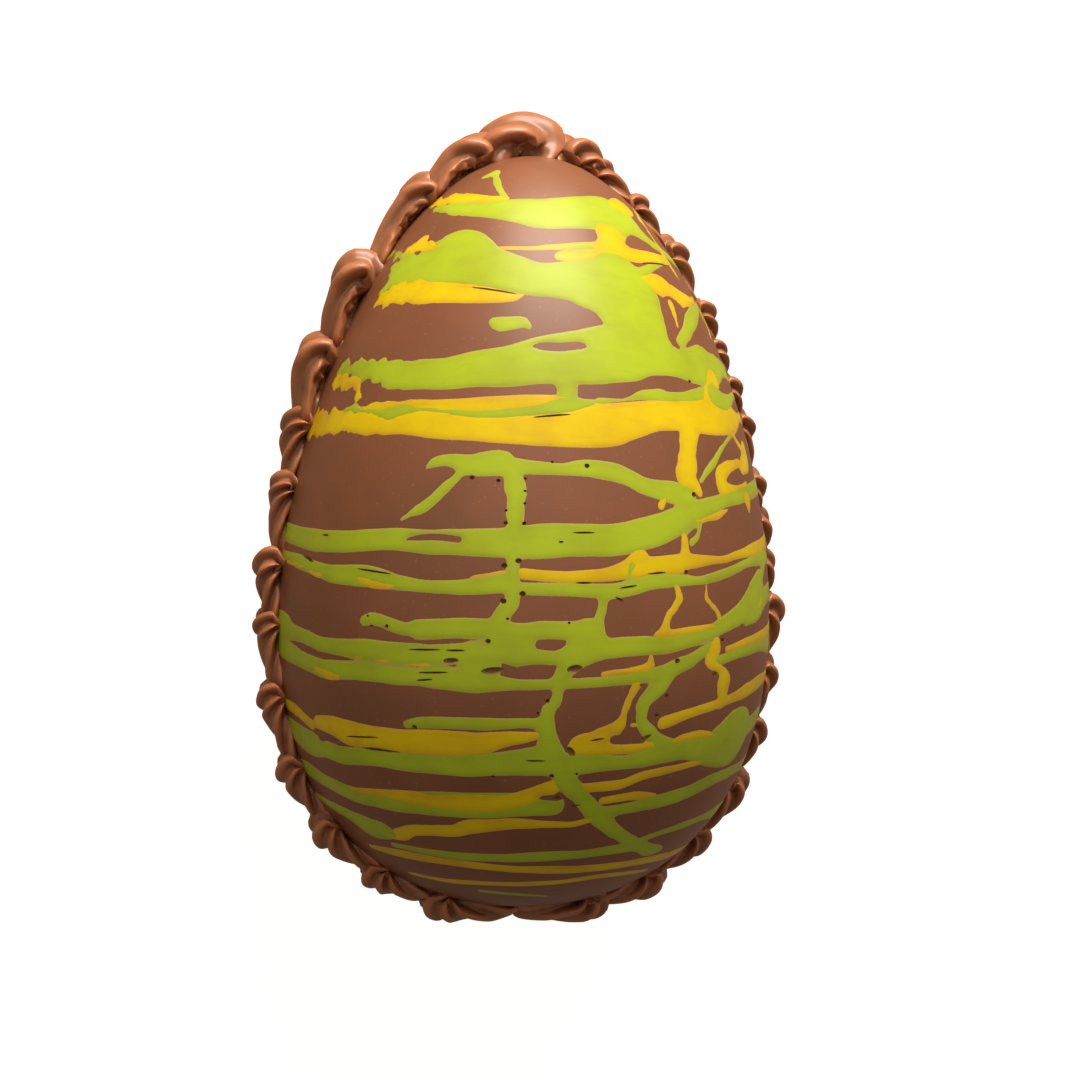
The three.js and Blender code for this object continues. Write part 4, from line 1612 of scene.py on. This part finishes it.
@dataclass(frozen=True)
class OpalAcrylic(Finish):
    """The top of a light table: opal acrylic, sanded dull and lit from below with white light.

    It is bright to look at, and throws much less of that light on the egg. Its own colour is warm,
    so what it throws back of the room's light is warm too.
    """

    name: str = "opal_acrylic"
    shade: str = "9C8069"
    seen_glow: float = 0.95
    thrown_glow: float = 0.05

    def mix(self) -> bpy.types.Material:
        """Builds the node tree.

        Returns:
            The material.
        """
        made = new_material(self.name)
        looked_at = add_node(made, "LightPath").outputs["Is Camera Ray"]
        glow = add_node(
            made, "MapRange", {"To Min": self.thrown_glow, "To Max": self.seen_glow}, {"Value": looked_at}
        )
        surface = add_node(
            made,
            "BsdfPrincipled",
            {"Base Color": linear(self.shade), "Roughness": 0.9, "Emission Color": linear("FFFFFF")},
            {"Emission Strength": glow.outputs["Result"]},
        )
        add_node(made, "OutputMaterial", None, {"Surface": surface.outputs["BSDF"]})
        return made


# ---- The studio ------------------------------------------------------------------------------------------


@dataclass(frozen=True)
class SoftBox:
    """One soft area light, aimed at the egg."""

    name: str
    place: Point  # metres from the middle of the egg, in the egg's own directions
    size: float
    power: float
    tint: str = "FFFFFF"

    def hang(self, target: Vector, turn: Matrix) -> None:
        """Adds the light.

        Args:
            target: the point that it shines on.
            turn: the turn from the egg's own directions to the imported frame's.
        """
        lamp = bpy.data.lights.new(self.name, "AREA")
        lamp.shape = "SQUARE"
        lamp.size = self.size
        lamp.energy = self.power
        lamp.color = linear(self.tint)[:3]
        holder = bpy.data.objects.new(self.name, lamp)
        offset = turn @ Vector(self.place)
        holder.location = target + offset
        holder.rotation_euler = offset.to_track_quat("Z", "Y").to_euler()
        bpy.context.scene.collection.objects.link(holder)


@dataclass(frozen=True)
class Studio:
    """A pale floor, soft lights and the camera."""

    placement: Placement
    lights: tuple[SoftBox, ...]
    distance: float = 0.550  # of the camera from the middle of the egg
    yaw: float = 14.18  # degrees
    pitch: float = -2.80
    roll: float = -1.45
    lens: float = 83.6
    shift: Span = (0.0156, -0.0104)
    floor_size: float = 8.0
    bright_end: float = 0.85  # strength of the room's light from beyond the pointed end
    dim_end: float = 0.15
    room_tint: str = "FFF0E2"

    def build(self) -> None:
        """Sets up everything that isn't part of the egg."""
        matrix = self.placement.own_frame()
        middle = matrix.translation
        turn = matrix.to_3x3().normalized()
        self.lay_floor()
        for light in self.lights:
            light.hang(middle, turn)
        self.light_room()
        self.set_camera(middle, turn)

    def lay_floor(self) -> None:
        """Lays the floor that the egg rests on."""
        bpy.ops.object.select_all(action="DESELECT")
        bpy.ops.mesh.primitive_plane_add(size=self.floor_size, location=(0, 0, 0))
        floor = added("studio_floor")
        floor.data.materials.append(OpalAcrylic().material())

    def light_room(self) -> None:
        """Lights the room softly, brighter beyond the pointed end than behind the blunt one."""
        world = bpy.data.worlds.new("studio_room")
        world.use_nodes = True
        direction = add_node(world, "TexCoord").outputs["Generated"]
        parts = add_node(world, "SeparateXYZ", None, {"Vector": direction})
        strength = add_node(
            world,
            "MapRange",
            {"From Min": -0.5, "From Max": 0.9, "To Min": self.dim_end, "To Max": self.bright_end},
            {"Value": parts.outputs["Y"]},
        )
        background = world.node_tree.nodes["Background"]
        background.inputs["Color"].default_value = linear(self.room_tint)
        world.node_tree.links.new(strength.outputs["Result"], background.inputs["Strength"])
        bpy.context.scene.world = world
        bpy.context.scene.view_settings.view_transform = "Standard"

    def set_camera(self, middle: Vector, turn: Matrix) -> None:
        """Looks down at the egg's front half.

        Args:
            middle: the middle of the egg.
            turn: the turn from the egg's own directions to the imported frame's.
        """
        look = Matrix.Rotation(math.radians(self.roll), 3, "Z")
        look = look @ Matrix.Rotation(math.radians(self.pitch), 3, "X")
        look = look @ Matrix.Rotation(math.radians(self.yaw), 3, "Y")
        camera = bpy.data.objects.new("camera", bpy.data.cameras.new("camera"))
        camera.data.lens = self.lens
        camera.data.shift_x, camera.data.shift_y = self.shift
        back = look.transposed() @ Vector((0, 0, 1))
        place = middle + turn @ back * self.distance
        camera.matrix_world = Matrix.Translation(place) @ (turn @ look.transposed()).to_4x4()
        bpy.context.scene.collection.objects.link(camera)
        bpy.context.scene.camera = camera


# ---- Making the egg ------------------------------------------------------------------------------------

GREEN_CHOCOLATE = ColouredWhiteChocolate("green_white_chocolate", "A2B723", "929E22", "B09A55")
YELLOW_CHOCOLATE = ColouredWhiteChocolate("yellow_white_chocolate", "D6BC06", "BF9A14", "C79A4A")
LIGHTS = (
    SoftBox("key_over_pointed_end", (0.05, 0.62, 0.22), 0.42, 7.8, "FFF2E4"),
    SoftBox("front_fill", (-0.25, 0.45, 0.80), 0.70, 0.7, "FFF8F0"),
)


def report(pieces: list[bpy.types.Object]) -> None:
    """Logs each piece with its size.

    Args:
        pieces: the finished mesh objects.
    """
    for piece in pieces:
        size = " x ".join(f"{side / MM:.1f}" for side in piece.dimensions)
        log.info("%s: %s mm, %d faces", piece.name, size, len(piece.data.polygons))


def main() -> None:
    """Builds the egg, its border and its drizzles, then the studio."""
    logging.basicConfig(level=logging.INFO, format="%(name)s: %(message)s")
    form = EggForm()
    placement = Placement()
    holes = AirHoles(form, ROUND_HOLES, SLITS).build()
    looks = {Colour.GREEN: GREEN_CHOCOLATE, Colour.YELLOW: YELLOW_CHOCOLATE}
    strokes = {Side.FRONT: FRONT_STROKES, Side.BACK: BackFlicks().strokes()}
    for side in Side:
        cutters = holes if side is Side.FRONT else None
        half = MouldedHalf(form, placement, side)
        moulded = half.build()
        half.finish(moulded, cutters, TemperedMilkChocolate())
        mould = DrizzledMould(form, strokes[side], seed=10.0 * side.value)
        report([moulded, *Drizzles(placement, mould, side, looks).build(cutters)])
    bpy.data.objects.remove(holes)
    report(PipedBorder(form, placement, StarRope(), ShellPath()).build(PipedMilkChocolate()))
    Studio(placement, LIGHTS).build()


if __name__ == "__main__":
    main()
